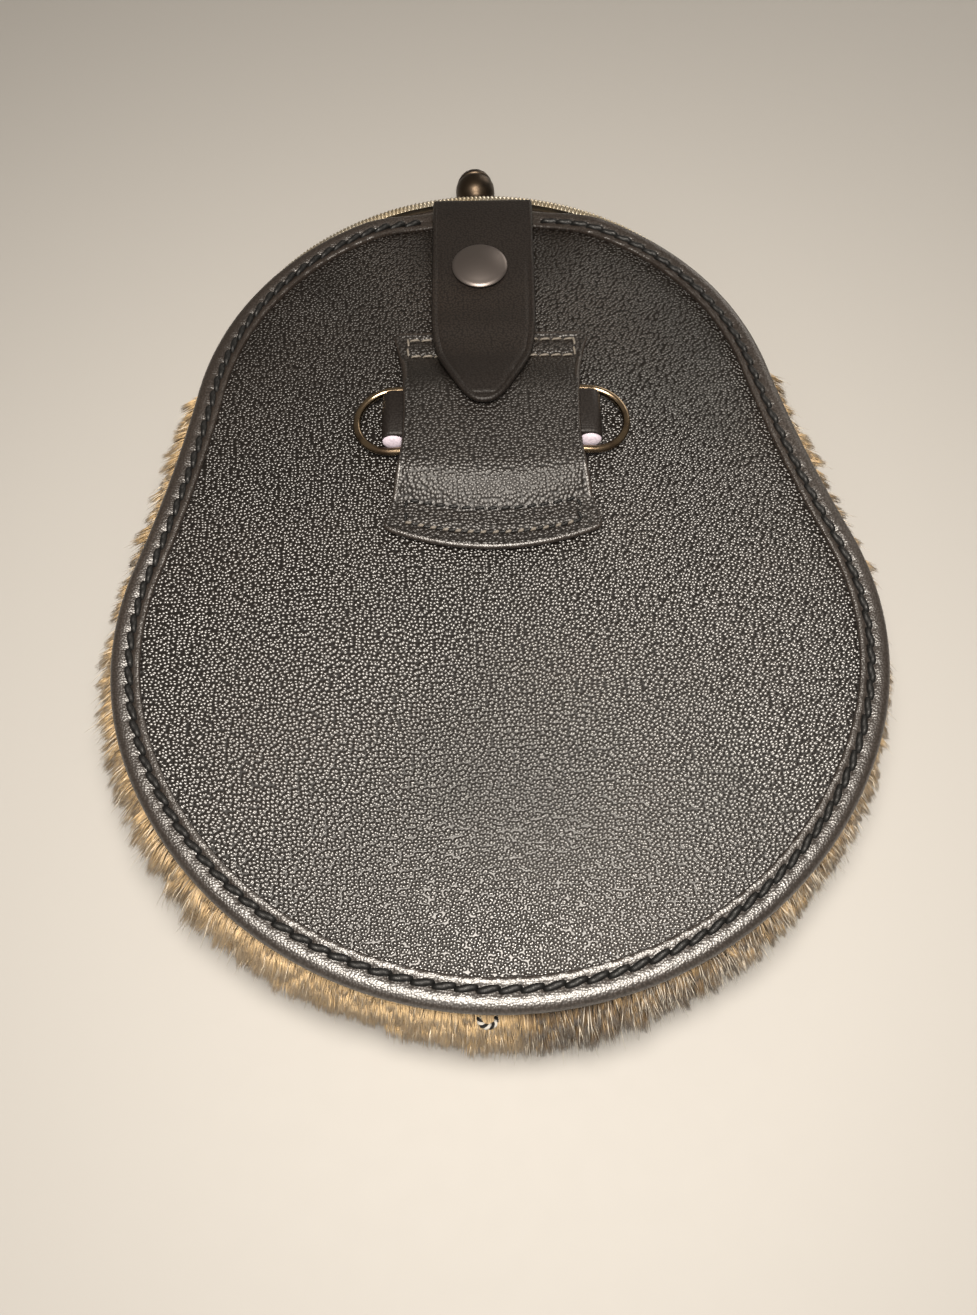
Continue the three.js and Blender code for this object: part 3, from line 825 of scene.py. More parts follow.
def binding_section():
    """Section of the binding, round its fold, over the seam's groove and back underneath."""
    middle = BACK_Z - PANEL_T / 2
    half = BINDING_TOP - middle
    upper, lower = BACK_Z + BINDING["gap"], BACK_Z - PANEL_T - BINDING["gap"]
    rows = []
    for degrees in np.linspace(-90, 78, 13):
        turn = math.radians(degrees)
        rows.append((BINDING["fold"] * (math.cos(turn) - 1), middle + half * math.sin(turn), 0))
    rows += [
        # out from the edge, height, how much the stitches draw it in
        (-2.6, BINDING_TOP + 0.02, 0.1),
        (-3.4, BINDING_TOP - 0.08, 0.35),
        (-4.0, BINDING_TOP - 0.32, 0.8),
        (GROOVE_OUT, BINDING_TOP - 0.5, 1),
        (-5.3, BINDING_TOP - 0.36, 0.8),
        (-5.8, BINDING_TOP - 0.16, 0.4),
        (-6.4, BINDING_TOP - 0.1, 0.15),
        (-6.9, BINDING_TOP - 0.24, 0),
        (-BINDING_COVER - 0.15, BINDING_TOP - 0.6, 0),
        (-BINDING_COVER - 0.1, upper, 0),
        (-BINDING_WALL, upper, 0),
        (-BINDING_WALL, lower, 0),
        (-BINDING_COVER, lower, 0),
        (-BINDING_COVER - 0.1, BACK_Z - PANEL_T - 0.7, 0),
        (-BINDING_COVER + 0.4, middle - half, 0),
    ]
    return rows


def leather_binding(colours, sizes):
    """The strip folded over the edge, drawn into a groove by its stitches."""
    stations = stitch_count(sizes) * BINDING["per_stitch"]
    number = np.arange(stations)
    at, out = edge_line(number / stations)
    pulse = np.cos(2 * math.pi * number / BINDING["per_stitch"])
    drawn = np.where(pulse > 0, pulse**2, 0)
    coarse, fine = BINDING["slack"]
    slack = coarse * np.sin(number * 0.37) + fine * np.sin(number * 0.113 + 1)
    rows = []
    for outward, z, tie in binding_section():
        flat = at + out * outward
        sink = BINDING["draw"] * tie * drawn - slack * (0.3 + tie) * (z > BACK_Z)
        rows.append(framed(flat, z - sink - pull(at, np.full(stations, outward))))
    piece = swept("leather_binding", rows, loop=True)
    return dress(piece, smooth_calf(colours), replaces=["edge_binding"])


def twisted_stitch(name, run, thick, arch, slant):
    """One stitch of two-ply thread along X: it rises from one hole and dives into the next."""
    steps, sides, twist, lobe = 15, 12, 2.6, 0.22
    turn = np.arange(sides) / sides * 2 * math.pi
    rings = []
    for share in np.linspace(-1, 1, steps):
        centre = np.array((share * run / 2, slant * share, arch * (1 - share**4) - 0.55 * thick))
        ply = 0.5 * thick * (0.8 + 0.2 * math.sqrt(1 - share**2)) * (1 - 0.25 * share**8)
        lobes = ply * (1 - lobe + lobe * np.abs(np.cos(turn - twist * share)))
        ring = np.stack((np.zeros(sides), lobes * np.cos(turn), lobes * np.sin(turn)), 1)
        rings.append(centre + ring)
    return swept(name, rings, capped=True)


def edge_stitching(colours, sizes):
    """Thick twisted thread round the binding, left out where the tab covers it."""
    count = stitch_count(sizes)
    at, out = edge_line((np.arange(count) + 0.5) / count)
    flat = at + out * GROOVE_OUT
    spot = framed(flat, BINDING_TOP - EDGE_STITCH["sink"] - pull(at, np.full(count, GROOVE_OUT)))
    covered = (np.abs(spot[:, 0] - TAB_HIDES["x"]) < TAB_HIDES["half"]) & (at[:, 1] > TAB_HIDES["above"])
    along = np.stack((-out[:, 1], out[:, 0], np.zeros(count)), 1)
    across = np.stack((-out[:, 0], -out[:, 1], np.zeros(count)), 1)
    up = np.tile((0.0, 0.0, 1.0), (count, 1))
    places = np.stack((spot, along, across, up), 1)[~covered]
    run = sizes.edge_stitch / MM * EDGE_STITCH["overlap"]
    thick = sizes.edge_thread / MM
    pattern = twisted_stitch("edge_stitch", run, thick, EDGE_STITCH["arch"], EDGE_STITCH["slant"])
    piece = copies("edge_stitching", pattern, places)
    return dress(piece, waxed_thread("waxed_thread", colours.thread))


# Hide and fur

# Length of the section that bears hair, spacing of the tufts, share of the swell at the roots, how far
# the roots lie inside the section, and the heights that limit roots and hair
FUR_HEIGHT = 33.0
TUFT = 2.6
FUR_ROOT = 0.45
FUR_SINK = 1.5
ROOT_TOP = 28.4
HAIR_LOW, HAIR_HIGH = 0.15, 29.6

# Stretch along the pouch where the hide passes into the cantle's gallery, and its gap to the wall
GALLERY = {"from": 38.0, "to": 45.0, "gap": 0.3}

# Undercoat: how far it lies inside the section, its foot and top, and its way back along the hide
WOOL = {"inset": 1.3, "foot": 1.1, "inner_foot": 3.8}
WOOL_TOP = (-1.6, 28.6, 0.3)
WOOL_INSIDE = [(-2.6, 28.6, 0), (-2.6, 17, 0), (-3.2, 10.5, 0), (-6.5, 5.6, 0), (-13, 3.8, 0)]

# Strands: share of the length at their middle ring, and its width and silver beside the root and tip
STRAND = {"middle": 0.55, "width": 0.8, "silver": 0.6}


def hide():
    """Hollow hide of the front: round the leather's edge below, inside the gallery at the top."""
    rows = [
        # out, z, and the same inside the gallery
        (-34, 3, -34, 1.7),
        (-12, 3, -8, 1.7),
        (-5, 5, -1.5, 3.4),
        (-2, 10, 0, 8),
        (-1.7, 17, 0, 14),
        (-1.7, 30.4, 0, 23.5),
        (-3.7, 30.4, -2, 23.5),
        (-3.7, 17, -2, 14),
        (-4, 11, -2, 8.6),
        (-7, 6.6, -3.4, 5),
        (-13, 5, -9, 3.7),
        (-34, 5, -34, 3.7),
    ]
    stations = 160
    at, out = edge_line(np.arange(stations) / stations)
    cap = smooth_step(at[:, 1], GALLERY["from"], GALLERY["to"])[:, None]
    ray = at - (0, CANTLE["y"])
    ray /= np.linalg.norm(ray, axis=1, keepdims=True)
    inner = CANTLE["r"] - CANTLE["sheet"] - GALLERY["gap"]
    rings = []
    for low_out, low_z, cap_out, cap_z in rows:
        low = at + out * low_out
        high = (0, CANTLE["y"]) + ray * (inner + cap_out)
        flat = low + (high - low) * cap
        rings.append(framed(flat, low_z + (cap_z - low_z) * cap[:, 0]))
    # The belly closes in its middle, outside and inside
    middle = np.tile((0.0, 5.0), (stations, 1))
    rings = [framed(middle, rows[0][1]), *rings, framed(middle, rows[-1][1])]
    piece = swept("hide", rings)
    return dress(piece, suede_and_shade(), replaces=["fur_front"])


def fur_spread():
    """Shares of the edge's length where fur shows, from the right cantle end round by the foot."""
    share = np.linspace(0, 0.5, 2001)
    at, _ = edge_line(share)
    return share[np.searchsorted(at[:, 1], FUR_TOP_Y)]


def fur_wool(colours):
    """Dense undercoat on the hide, a little inside the ends of the hair."""
    end = fur_spread()
    share = np.linspace(-end, end, 150)
    at, out = edge_line(share)
    more = swell(at)
    section = []
    for outward, z, full in FUR_ROWS[:-1]:
        lift = WOOL["foot"] if z < 3 else 0.4 if z < 8 else 0
        section.append((outward - WOOL["inset"], z + lift, full))
    section += [WOOL_TOP, *WOOL_INSIDE]
    middle = np.tile((0.0, FUR_TOP_Y), (len(share), 1))
    columns = [framed(middle, WOOL["foot"])]
    columns += [framed(at + out * (o + FUR_ROOT * full * more)[:, None], z) for o, z, full in section]
    columns += [framed(middle, WOOL["inner_foot"])]
    piece = swept("fur_wool", np.stack(columns, 1), capped=True)
    return dress(piece, undercoat(colours))


def strands(name, root, mid, tip, radius, tone, silver):
    """Tapering three-sided strands of hair as one mesh, in metres.

    A single hair is too fine to show, so each strand stands for a few that cling together.
    """
    count = len(root)
    along = tip - root
    along /= np.linalg.norm(along, axis=1, keepdims=True)
    side = np.cross(along, (0.31, 0.83, 0.46))
    side /= np.linalg.norm(side, axis=1, keepdims=True)
    other = np.cross(along, side)
    turn = np.arange(3) / 3 * 2 * math.pi
    spoke = side[:, None] * np.cos(turn)[:, None] + other[:, None] * np.sin(turn)[:, None]
    points = np.concatenate(
        (
            root[:, None] + radius[:, None, None] * spoke,
            mid[:, None] + STRAND["width"] * radius[:, None, None] * spoke,
            tip[:, None],
        ),
        1,
    )
    # Points 0 to 2 are at the root, 3 to 5 in the middle, and 6 is the tip
    walls = [0, 1, 4, 3, 1, 2, 5, 4, 2, 0, 3, 5]
    point = [3, 4, 6, 4, 5, 6, 5, 3, 6]
    corners = np.array(walls + point)[None] + 7 * np.arange(count)[:, None]
    piece = mesh_of(name, points.reshape(-1, 3), corners.ravel(), np.tile([4, 4, 4, 3, 3, 3], count))
    paint = np.zeros((count, 7, 4), np.float32)
    paint[:, :, 0] = tone[:, None]
    paint[:, 3:6, 1] = STRAND["middle"]
    paint[:, 6, 1] = 1
    paint[:, 6, 2] = silver
    paint[:, 3:6, 2] = STRAND["silver"] * silver[:, None]
    paint[:, :, 3] = 1
    layer = piece.data.attributes.new("strand", "FLOAT_COLOR", "POINT")
    layer.data.foreach_set("color", paint.ravel())
    return piece


def wander(a, b, seed):
    """A smooth number from -1 to 1 that changes over one unit of a and b."""
    total = np.zeros(np.shape(a))
    for k in range(4):
        shift = seed * 1.7 + k * 2.1
        first = a * (0.8 + 0.5 * k) * 2 + b * (1.3 - 0.4 * k) * 2 + shift
        second = b * (0.6 + 0.45 * k) * 2 - shift
        total += np.sin(first) * np.cos(second)
    return np.clip(total / 2.2, -1, 1)


def scatter(a, b, kind):
    """A number from 0 to 1 that jumps from one whole pair of a and b to the next."""
    return np.mod(np.sin(a * 127.1 + b * 311.7 + kind * 74.7) * 43758.5453, 1)


# How the fur changes from the left flank by the foot to the right flank
FUR_COAT = [
    # share of the edge, tone, calm, silver-tipped strands, reach, length
    (-0.34, 0.5, 0.0, 0.03, 0.85, 0.85),
    (-0.29, 0.46, 0.0, 0.03, 0.9, 0.9),
    (-0.24, 0.46, 0.0, 0.04, 0.85, 0.85),
    (-0.19, 0.48, 0.0, 0.06, 1.0, 0.9),
    (-0.14, 0.55, 0.2, 0.06, 1.2, 1.0),
    (-0.1, 0.66, 0.6, 0.02, 1.0, 0.8),
    (-0.05, 0.78, 1.0, 0.02, 0.9, 0.6),
    (-0.004, 0.66, 0.7, 0.02, 0.8, 0.85),
    (0.006, 0.1, 0.2, 0.06, 0.8, 0.85),
    (0.05, 0.05, 0.0, 0.12, 0.8, 0.7),
    (0.1, 0.22, 0.0, 0.1, 0.8, 0.6),
    (0.15, 0.36, 0.0, 0.06, 0.6, 0.65),
    (0.2, 0.42, 0.0, 0.05, 0.35, 0.65),
    (0.25, 0.44, 0.0, 0.04, 0.7, 0.8),
    (0.3, 0.46, 0.0, 0.04, 0.85, 0.85),
    (0.34, 0.46, 0.0, 0.04, 0.8, 0.8),
]


def coat(share):
    """Tone, calm, silver share, reach and length of the fur at shares of the edge."""
    rows = np.array(FUR_COAT)
    return [np.interp(share, rows[:, 0], rows[:, k]) for k in range(1, 6)]


def fur_ground(share, height):
    """Where strands stand on the sides and which way they lie, in millimetres."""
    at, out = edge_line(share)
    rows = np.array(FUR_ROWS)
    knots = np.linspace(0, 1, len(rows))
    level = np.clip(height / FUR_HEIGHT, 0, 1)
    full = FUR_ROOT * np.interp(level, knots, rows[:, 2])
    outward = np.interp(level, knots, rows[:, 0]) - FUR_SINK + full * swell(at)
    z = np.minimum(np.interp(level, knots, rows[:, 1]) + 0.8 * (1 - level), ROOT_TOP)
    root = framed(at + out * outward[:, None], z)
    run = share * 2 * HALF_EDGE
    lean = wander(run / 9, height / 8, 2.0)
    # Low hair lies towards the floor, high hair almost level
    rise = np.interp(level, (0, 0.25, 0.6, 1), (-0.55, -0.35, -0.1, 0.05))
    _, calm, _, reach, _ = coat(share)
    away = out * reach[:, None]
    lie = np.stack((away[:, 0], away[:, 1] - 0.75 + 0.2 * lean, rise - 0.4 * calm + 0.1 * lean), 1)
    lie[:, 0] += 0.22 * wander(run / 5 + 3, height / 6, 7.0)
    return root, lie / np.linalg.norm(lie, axis=1, keepdims=True)


# Hair: how it thins out towards the top, least and extra length of a tuft, sway of the tufts, spread of
# single strands, and how much longer and thinner guard hairs are
HAIR = {"thin_out": 0.85, "short": 0.72, "extra": 0.5, "sway": 0.55, "spread": 0.14}
GUARD = {"long": 1.35, "thin": 0.8, "silver": 0.9}


def side_fur(name, first, last, colours, sizes, seed):
    """Hair of one quarter of the sides, lying towards the foot in small pointed tufts."""
    rng = np.random.default_rng(seed)
    count = sizes.strands
    share = rng.uniform(first, last, count)
    height = FUR_HEIGHT * rng.uniform(0, 1, count) ** HAIR["thin_out"]
    root, lie = fur_ground(share, height)
    tone, calm, guarded, _, long = coat(share)
    # Each tuft has a place of its own on an uneven grid, a length and a lean
    row = np.floor(height / TUFT)
    column = np.floor(share * 2 * HALF_EDGE / TUFT + 0.5 * (row % 2))
    tuft_run = (column + 0.2 + 0.6 * scatter(column, row, 1) - 0.5 * (row % 2)) * TUFT
    tuft_height = (row + 0.2 + 0.6 * scatter(column, row, 2)) * TUFT
    tuft_root, tuft_lie = fur_ground(tuft_run / (2 * HALF_EDGE), tuft_height)
    sway = np.stack([scatter(column, row, k) - 0.5 for k in (3, 4, 5)], 1)
    tuft_far = sizes.hair / MM * (HAIR["short"] + HAIR["extra"] * scatter(column, row, 6)) * long
    tuft_tip = tuft_root + (tuft_lie + HAIR["sway"] * sway) * tuft_far[:, None]
    # Guard hairs are longer, thinner and silvery, and leave the tufts
    guard = rng.uniform(0, 1, count) < guarded
    far = tuft_far * rng.uniform(0.75, 1.1, count) * np.where(guard, GUARD["long"], 1)
    loose = lie + rng.normal(0, HAIR["spread"], (count, 3))
    own = root + loose / np.linalg.norm(loose, axis=1, keepdims=True) * far[:, None]
    # Each strand ends partly at its own place and partly at the tip of its tuft
    pinch = rng.uniform(0.35, 0.8, count) * np.where(guard, 0.4, 1 - 0.5 * calm)
    tip = own + (tuft_tip - own) * pinch[:, None]
    bulge = np.stack((lie[:, 0], lie[:, 1] + 0.5, np.zeros(count)), 1)
    mid = root + (tip - root) * 0.5 + bulge * 0.1 * far[:, None]
    tip[:, 2] -= 0.05 * far
    for points in (root, mid, tip):
        points[:, 2] = np.clip(points[:, 2], HAIR_LOW, HAIR_HIGH)
    patch = wander(share * 2 * HALF_EDGE / 24, height / 30, 3.0)
    tone = tone + 0.12 * patch + 0.3 * (scatter(column, row, 7) - 0.5)
    tone = np.clip(tone + rng.normal(0, 0.14, count), 0, 1)
    # A few of the other strands have pale tips
    pale = rng.uniform(0, 1, count) < 0.08
    silver = np.where(guard, GUARD["silver"], 0.0) + np.where(pale, 0.3, 0)
    radius = sizes.hair_width / 2 * rng.uniform(0.75, 1.15, count) * np.where(guard, GUARD["thin"], 1)
    piece = strands(name, root * MM, mid * MM, tip * MM, radius, tone, np.minimum(silver, 1))
    return dress(piece, fur_hair(colours))


def belly_fur(colours, sizes):
    """Flattened hair under the pouch, which lies on it."""
    rng = np.random.default_rng(71)
    count = sizes.strands // 2
    end = fur_spread()
    at, out = edge_line(rng.uniform(-end, end, count))
    middle = np.array((0.0, FUR_TOP_Y - 4))
    flat = middle + (at - 7 * out - middle) * np.sqrt(rng.uniform(0.0, 1, count))[:, None]
    root = framed(flat, rng.uniform(0.9, 1.4, count))
    far = sizes.hair / MM * rng.uniform(0.8, 1.3, count)
    lean = 0.35 * wander(flat[:, 0] / 9, flat[:, 1] / 9, 4.0) + rng.normal(0, 0.12, count)
    lie = np.stack((lean, -np.ones(count), -0.1 * np.ones(count)), 1)
    tip = root + lie * far[:, None]
    mid = root + lie * far[:, None] * 0.5
    tip[:, 2] = rng.uniform(HAIR_LOW, 0.4, count)
    mid[:, 2] = rng.uniform(0.4, 0.9, count)
    patch = wander(flat[:, 0] / 24, flat[:, 1] / 24, 6.0)
    tone = np.clip(0.5 + 0.3 * patch + rng.normal(0, 0.15, count), 0, 1)
    radius = np.full(count, 1.4 * sizes.hair_width / 2)
    piece = strands("fur_belly", root * MM, mid * MM, tip * MM, radius, tone, np.zeros(count))
    return dress(piece, fur_hair(colours))


# Cantle and knob


def cantle_gallery(sizes):
    """Gallery wall with its thick rim, milled with rounded ridges."""
    sweep = math.pi - 2 * CANTLE["end"]
    ridges = round(CANTLE["r"] * sweep * MM / sizes.rim_ridge)
    per_ridge = 4
    number = np.arange(ridges * per_ridge + 1)
    angle = CANTLE["end"] + sweep * number / number[-1]
    ray = np.stack((np.cos(angle), np.sin(angle)), 1)
    bead = np.abs(np.sin(math.pi * number / per_ridge))
    back, inner = CANTLE["back"], CANTLE["r"] - CANTLE["sheet"]
    low_rim, mid_rim = back - RIM["deep"], CANTLE["r"] - RIM["width"] / 2
    section = [
        # radius, height, how far the ridges lower it outwards and upwards
        (CANTLE["r"], 0.5, 0, 0),
        (CANTLE["r"], low_rim - 0.6, 0, 0),
        (CANTLE["r"] - 0.25, low_rim - 0.3, 0, 0),
        (CANTLE["r"], low_rim, 0.2, 0),
        (CANTLE["r"], back - 1.0, 0.3, 0),
        (CANTLE["r"] - 0.35, back - 0.3, 0.25, 0.25),
        (CANTLE["r"] - 0.9, back, 0, 0.4),
        (mid_rim, back + 0.08, 0, 0.42),
        (mid_rim - 0.5, back, 0, 0.4),
        (CANTLE["r"] - RIM["width"] + 0.1, back - 0.4, 0, 0.2),
        (CANTLE["r"] - RIM["width"], low_rim, 0, 0),
        (inner, low_rim - 0.4, 0, 0),
        (inner, 0.5, 0, 0),
    ]
    columns = []
    for r, z, dip_out, dip_up in section:
        flat = (0, CANTLE["y"]) + ray * (r - dip_out * (1 - bead))[:, None]
        columns.append(framed(flat, z - dip_up * (1 - bead)))
    return swept("cantle_gallery", np.stack(columns, 1), capped=True)


def cantle_plate():
    """Half-round front plate, with a bevelled edge, under the gallery."""
    end_x = CANTLE["r"] * math.cos(CANTLE["end"])
    end_y = CANTLE["y"] + CANTLE["r"] * math.sin(CANTLE["end"])
    angle = np.linspace(CANTLE["end"], math.pi - CANTLE["end"], 121)
    top = np.stack((np.cos(angle), np.sin(angle)), 1) * CANTLE["r"] + (0, CANTLE["y"])
    straight = end_x - 2 * RIM["width"]
    t = np.linspace(0, 1, 49)[:, None]
    control = np.array((0, 2 * CANTLE["low_middle"] - end_y))
    left, right = np.array((-straight, end_y)), np.array((straight, end_y))
    low = (1 - t) ** 2 * left + 2 * t * (1 - t) * control + t**2 * right
    outline = np.concatenate((top, low))
    middle = outline.mean(0)
    low_z, high_z = 0.05, CANTLE["sheet"]
    rings = [framed(np.tile(middle, (len(outline), 1)), low_z)]
    bevel = ((0.99, low_z), (1, 0.4), (1, high_z))
    rings += [framed(middle + (outline - middle) * k, z) for k, z in bevel]
    rings += [framed(np.tile(middle, (len(outline), 1)), high_z)]
    return swept("cantle_plate", rings)


def cantle(colours, sizes):
    """Metal cantle: plate, gallery and milled rim, soldered into one."""
    gallery = cantle_gallery(sizes)
    plate = cantle_plate()
    clear_selection()
    plate.select_set(True)
    gallery.select_set(True)
    bpy.context.view_layer.objects.active = gallery
    bpy.ops.object.join()
    gallery.name = gallery.data.name = "metal_cantle"
    return dress(gallery, plated_brass(colours), replaces=["cantle"])


# Knob: its place across and above the floor, and how far its foot stands off the gallery
KNOB = {"x": 1.5, "z": 17.5, "off": 0.3, "sides": 48}


def turned_knob(colours):
    """Turned knob: a flat foot, a neck, a rounded body, and a domed top above a groove."""
    profile = [
        # height, radius
        (-0.7, 0),
        (-0.7, 5.9),
        (0.2, 6),
        (1.1, 6),
        (1.5, 5.8),
        (2.1, 4.2),
        (2.7, 3.55),
        (3.8, 3.35),
        (4.8, 3.5),
        (5.5, 4.2),
        (6.4, 5.05),
        (7.6, 5.65),
        (9.0, 5.9),
        (10.4, 5.9),
        (11.4, 5.75),
        (11.9, 5.45),
        (12.1, 5.05),
        (12.35, 5.05),
        (12.6, 5.3),
        (13.2, 5.25),
        (14.2, 4.8),
        (15.3, 3.95),
        (16.2, 2.85),
        (16.8, 1.7),
        (17.15, 0.7),
        (17.2, 0),
    ]
    y = CANTLE["y"] + CANTLE["r"] + KNOB["off"] + SHIFT_Y
    rings = lathe_rings(profile, (KNOB["x"], y, KNOB["z"]), (0, 1, 0), KNOB["sides"])
    piece = swept("turned_knob", rings)
    return dress(piece, dark_brass(colours), replaces=["knob"])


# Belt loop, ring strap and rings

LOOP_ROWS = [
    # along, half width, underside above the back, bow of the section
    (-29.5, 26.4, 0.3, 4.9),
    (-25, 25.3, 0.3, 4.4),
    (-21, 24.1, 0.6, 3.8),
    (-17.5, 23.4, 2.9, 3),
    (-14, 22.7, 4.65, 2.2),
    (-8, 21.7, 5.1, 0.8),
    (2, 21.5, 5.4, 0),
    (10, 21.8, 5.3, 0),
    (15, 22.3, 3.2, 0),
    (20.5, 23.2, 0.5, 0),
    (25, 24.2, 0.3, 0),
    (29, 25.5, 0.3, 0),
]
LOOP_CORNER = 1.8
LOOP_STITCH_ROWS = [
    # along, first and last place across
    (27.0, -21.5, 22.0),
    (21.8, -21.0, 21.5),
    (-26.4, -21.0, 21.0),
    (-20.8, -20.5, 20.5),
]
LOOP_TOP_ENDS = [
    # across, first and last place along
    (-21.6, 21.8, 27),
    (21.8, 21.8, 27),
]
LOOP_FOOT_ENDS = [
    # across, first and last place along
    (-21, -26.6, -20.8),
    (21, -26.6, -20.8),
]

# Loop stitches: how deep they sit, their height and slant
LOOP_STITCH = {"sink": 0.12, "arch": 0.55, "slant": 0.16}

# Belt loop's margin: a crease and a low roll beside it, at places inside the cut edge, and the dip
# under each row of stitches. A spread is the square of a width.
LOOP_CREASE = {"deep": 0.16, "inside": 1.25, "spread": 0.18}
LOOP_ROLL = {"high": 0.1, "inside": 0.7, "spread": 0.1}
STITCH_DIP = {"deep": 0.22, "spread": 0.8}

# Half width that the loop's grid is laid out for, and rounding of cut edges
LOOP_HALF = 25.0
CUT_ROUNDING = 0.4


def loop_surface(v, t):
    """Point on the belt loop's upper face: along it, and across it from -1 to 1."""
    rows = np.array(LOOP_ROWS)
    fine = curve_through(rows, 240)
    half, under, bow = (np.interp(v, fine[:, 0], fine[:, k]) for k in (1, 2, 3))
    ends = np.minimum(v - rows[0, 0], rows[-1, 0] - v)
    into = np.maximum(0, LOOP_CORNER - ends)
    round_off = LOOP_CORNER - np.sqrt(np.maximum(0, LOOP_CORNER**2 - into**2))
    u = t * (half - round_off)
    return u, v - bow * (1 - t**2), under + LEATHER_T


def belt_loop(colours, sizes):
    """Hourglass of leather sewn down at both ends, with a creased margin and sunk stitch lines."""
    along = np.linspace(LOOP_ROWS[0][0], LOOP_ROWS[-1][0], 118)
    margin = np.array((0.0, 0.4, 0.8, 1.2, 1.6, 2.2, 3.2))
    inner = np.linspace(4.8, LOOP_HALF, 12)
    t_half = np.concatenate((margin, inner)) / LOOP_HALF
    across = np.concatenate((-1 + t_half[:-1], [0.0], 1 - t_half[:-1][::-1]))
    v, t = np.meshgrid(along, across, indexing="ij")
    u, y, w = loop_surface(v, t)
    from_end = np.minimum(v - along[0], along[-1] - v)
    from_side = (1 - np.abs(t)) * LOOP_HALF
    from_edge = np.minimum(from_end, from_side)
    crease = LOOP_CREASE["deep"] * hump(from_edge, LOOP_CREASE["inside"], LOOP_CREASE["spread"])
    roll = LOOP_ROLL["high"] * hump(from_edge, LOOP_ROLL["inside"], LOOP_ROLL["spread"])
    w = w - crease + roll
    for row, first, last in LOOP_STITCH_ROWS:
        inside = smooth_step(u, first - 1, first) * (1 - smooth_step(u, last, last + 1))
        w = w - STITCH_DIP["deep"] * inside * hump(v, row, STITCH_DIP["spread"])
    piece = slab("belt_loop_leather", sewn(u, y, w), LEATHER_T, CUT_ROUNDING)
    return dress(piece, dull_cowhide(colours, sizes), replaces=["belt_loop"])


# Rolled edges: how far their middle lies inside the cut edge, how far they stand proud, and their sides
EDGE_SINK = 0.4
EDGE_PROUD = 0.05
EDGE_SIDES = 10


def rolled_edge(name, path, finish, loop=False):
    """Burnished roll along a cut edge of leather, which shows as a fine line."""
    rings = tube_rings(path, LEATHER_T / 2 + EDGE_PROUD, EDGE_SIDES, loop)
    piece = swept(name, rings, loop=loop, capped=not loop)
    return dress(piece, finish)


def loop_edge(colours):
    """The roll round the belt loop."""
    low, high = LOOP_ROWS[0][0], LOOP_ROWS[-1][0]
    side, end = np.linspace(low, high, 100), np.linspace(-1, 1, 50)
    far, near = np.full(len(end) - 1, high), np.full(len(end) - 1, low)
    flank = np.ones(len(side) - 1)
    v = np.concatenate((side[1:], far, side[::-1][1:], near))
    t = np.concatenate((flank, end[::-1][1:], -flank, end[1:]))
    mean_half = 24
    u, y, w = loop_surface(v, t * (1 - EDGE_SINK / mean_half))
    return rolled_edge("belt_loop_edge", sewn(u, y, w - LEATHER_T / 2), smooth_calf(colours), loop=True)


def loop_stitches(rows, closing, pitch):
    """Places of stitches along the belt loop's rows, and down the ends that close each box."""
    places = []
    for row, first, last in rows:
        count = round((last - first) / pitch)
        for k in range(count):
            u = first + (last - first) * (k + 0.5) / count
            places.append((u, row, 0.0))
    for u, low, high in closing:
        for v in np.arange(low + pitch / 2, high, pitch):
            places.append((u, v, 90.0))
    origins = []
    for u, v, turn in places:
        half = np.interp(v, [r[0] for r in LOOP_ROWS], [r[1] for r in LOOP_ROWS])
        step = 0.02
        t = np.array([u / half + d for d in (-step, 0, step)])
        su, sy, sw = loop_surface(np.full(3, v), t)
        line = sewn(su, sy, sw)
        ahead = line[2] - line[0]
        ahead /= np.linalg.norm(ahead)
        up = np.array((0, 0, 1.0))
        aside = np.cross(up, ahead)
        if turn:
            ahead, aside = aside, -ahead
        origins.append((line[1] - (0, 0, LOOP_STITCH["sink"]), ahead, aside, up))
    return origins


def loop_stitching(colours, sizes):
    """Two boxes of stitches on the belt loop: rubbed at the top, black and pale in turn at the foot, the pale
    ones being painted highlights.
    """
    pitch = sizes.loop_stitch / MM
    thick = sizes.loop_thread / MM
    top = loop_stitches(LOOP_STITCH_ROWS[:2], LOOP_TOP_ENDS, pitch)
    low = loop_stitches(LOOP_STITCH_ROWS[2:3], [], pitch / 2)
    upper = loop_stitches(LOOP_STITCH_ROWS[3:], LOOP_FOOT_ENDS, pitch)
    rubbed = waxed_thread("rubbed_thread_and_glints", colours.thread_pale_and_glint)
    black = waxed_thread("waxed_thread", colours.thread)
    runs = [
        # name, places, length and thickness of a stitch, thread
        ("loop_stitching_top", top, 0.9 * pitch, 0.8 * thick, rubbed),
        # The pale stitches at the foot are painted highlights: glints on the thread
        ("loop_stitching_foot_glints", low[::2], 0.6 * pitch, thick, rubbed),
        ("loop_stitching_foot_black", low[1::2] + upper, 0.8 * pitch, 1.1 * thick, black),
    ]
    for name, places, run, thickness, thread in runs:
        pattern = twisted_stitch(name + "_one", run, thickness, LOOP_STITCH["arch"], LOOP_STITCH["slant"])
        dress(copies(name, pattern, places), thread)


# Ring strap: its place along, width, thickness at the ends and in the middle, half length, shoulder where
# it thickens, height above the back, and slant of its cut ends
STRAP = {"v": 1.3, "wide": 15.0, "thick": 4.8, "middle": 3.0, "half": 27.5, "shoulder": 14.0}
STRAP_LIFT = 0.3
STRAP_SLANT = 1.5


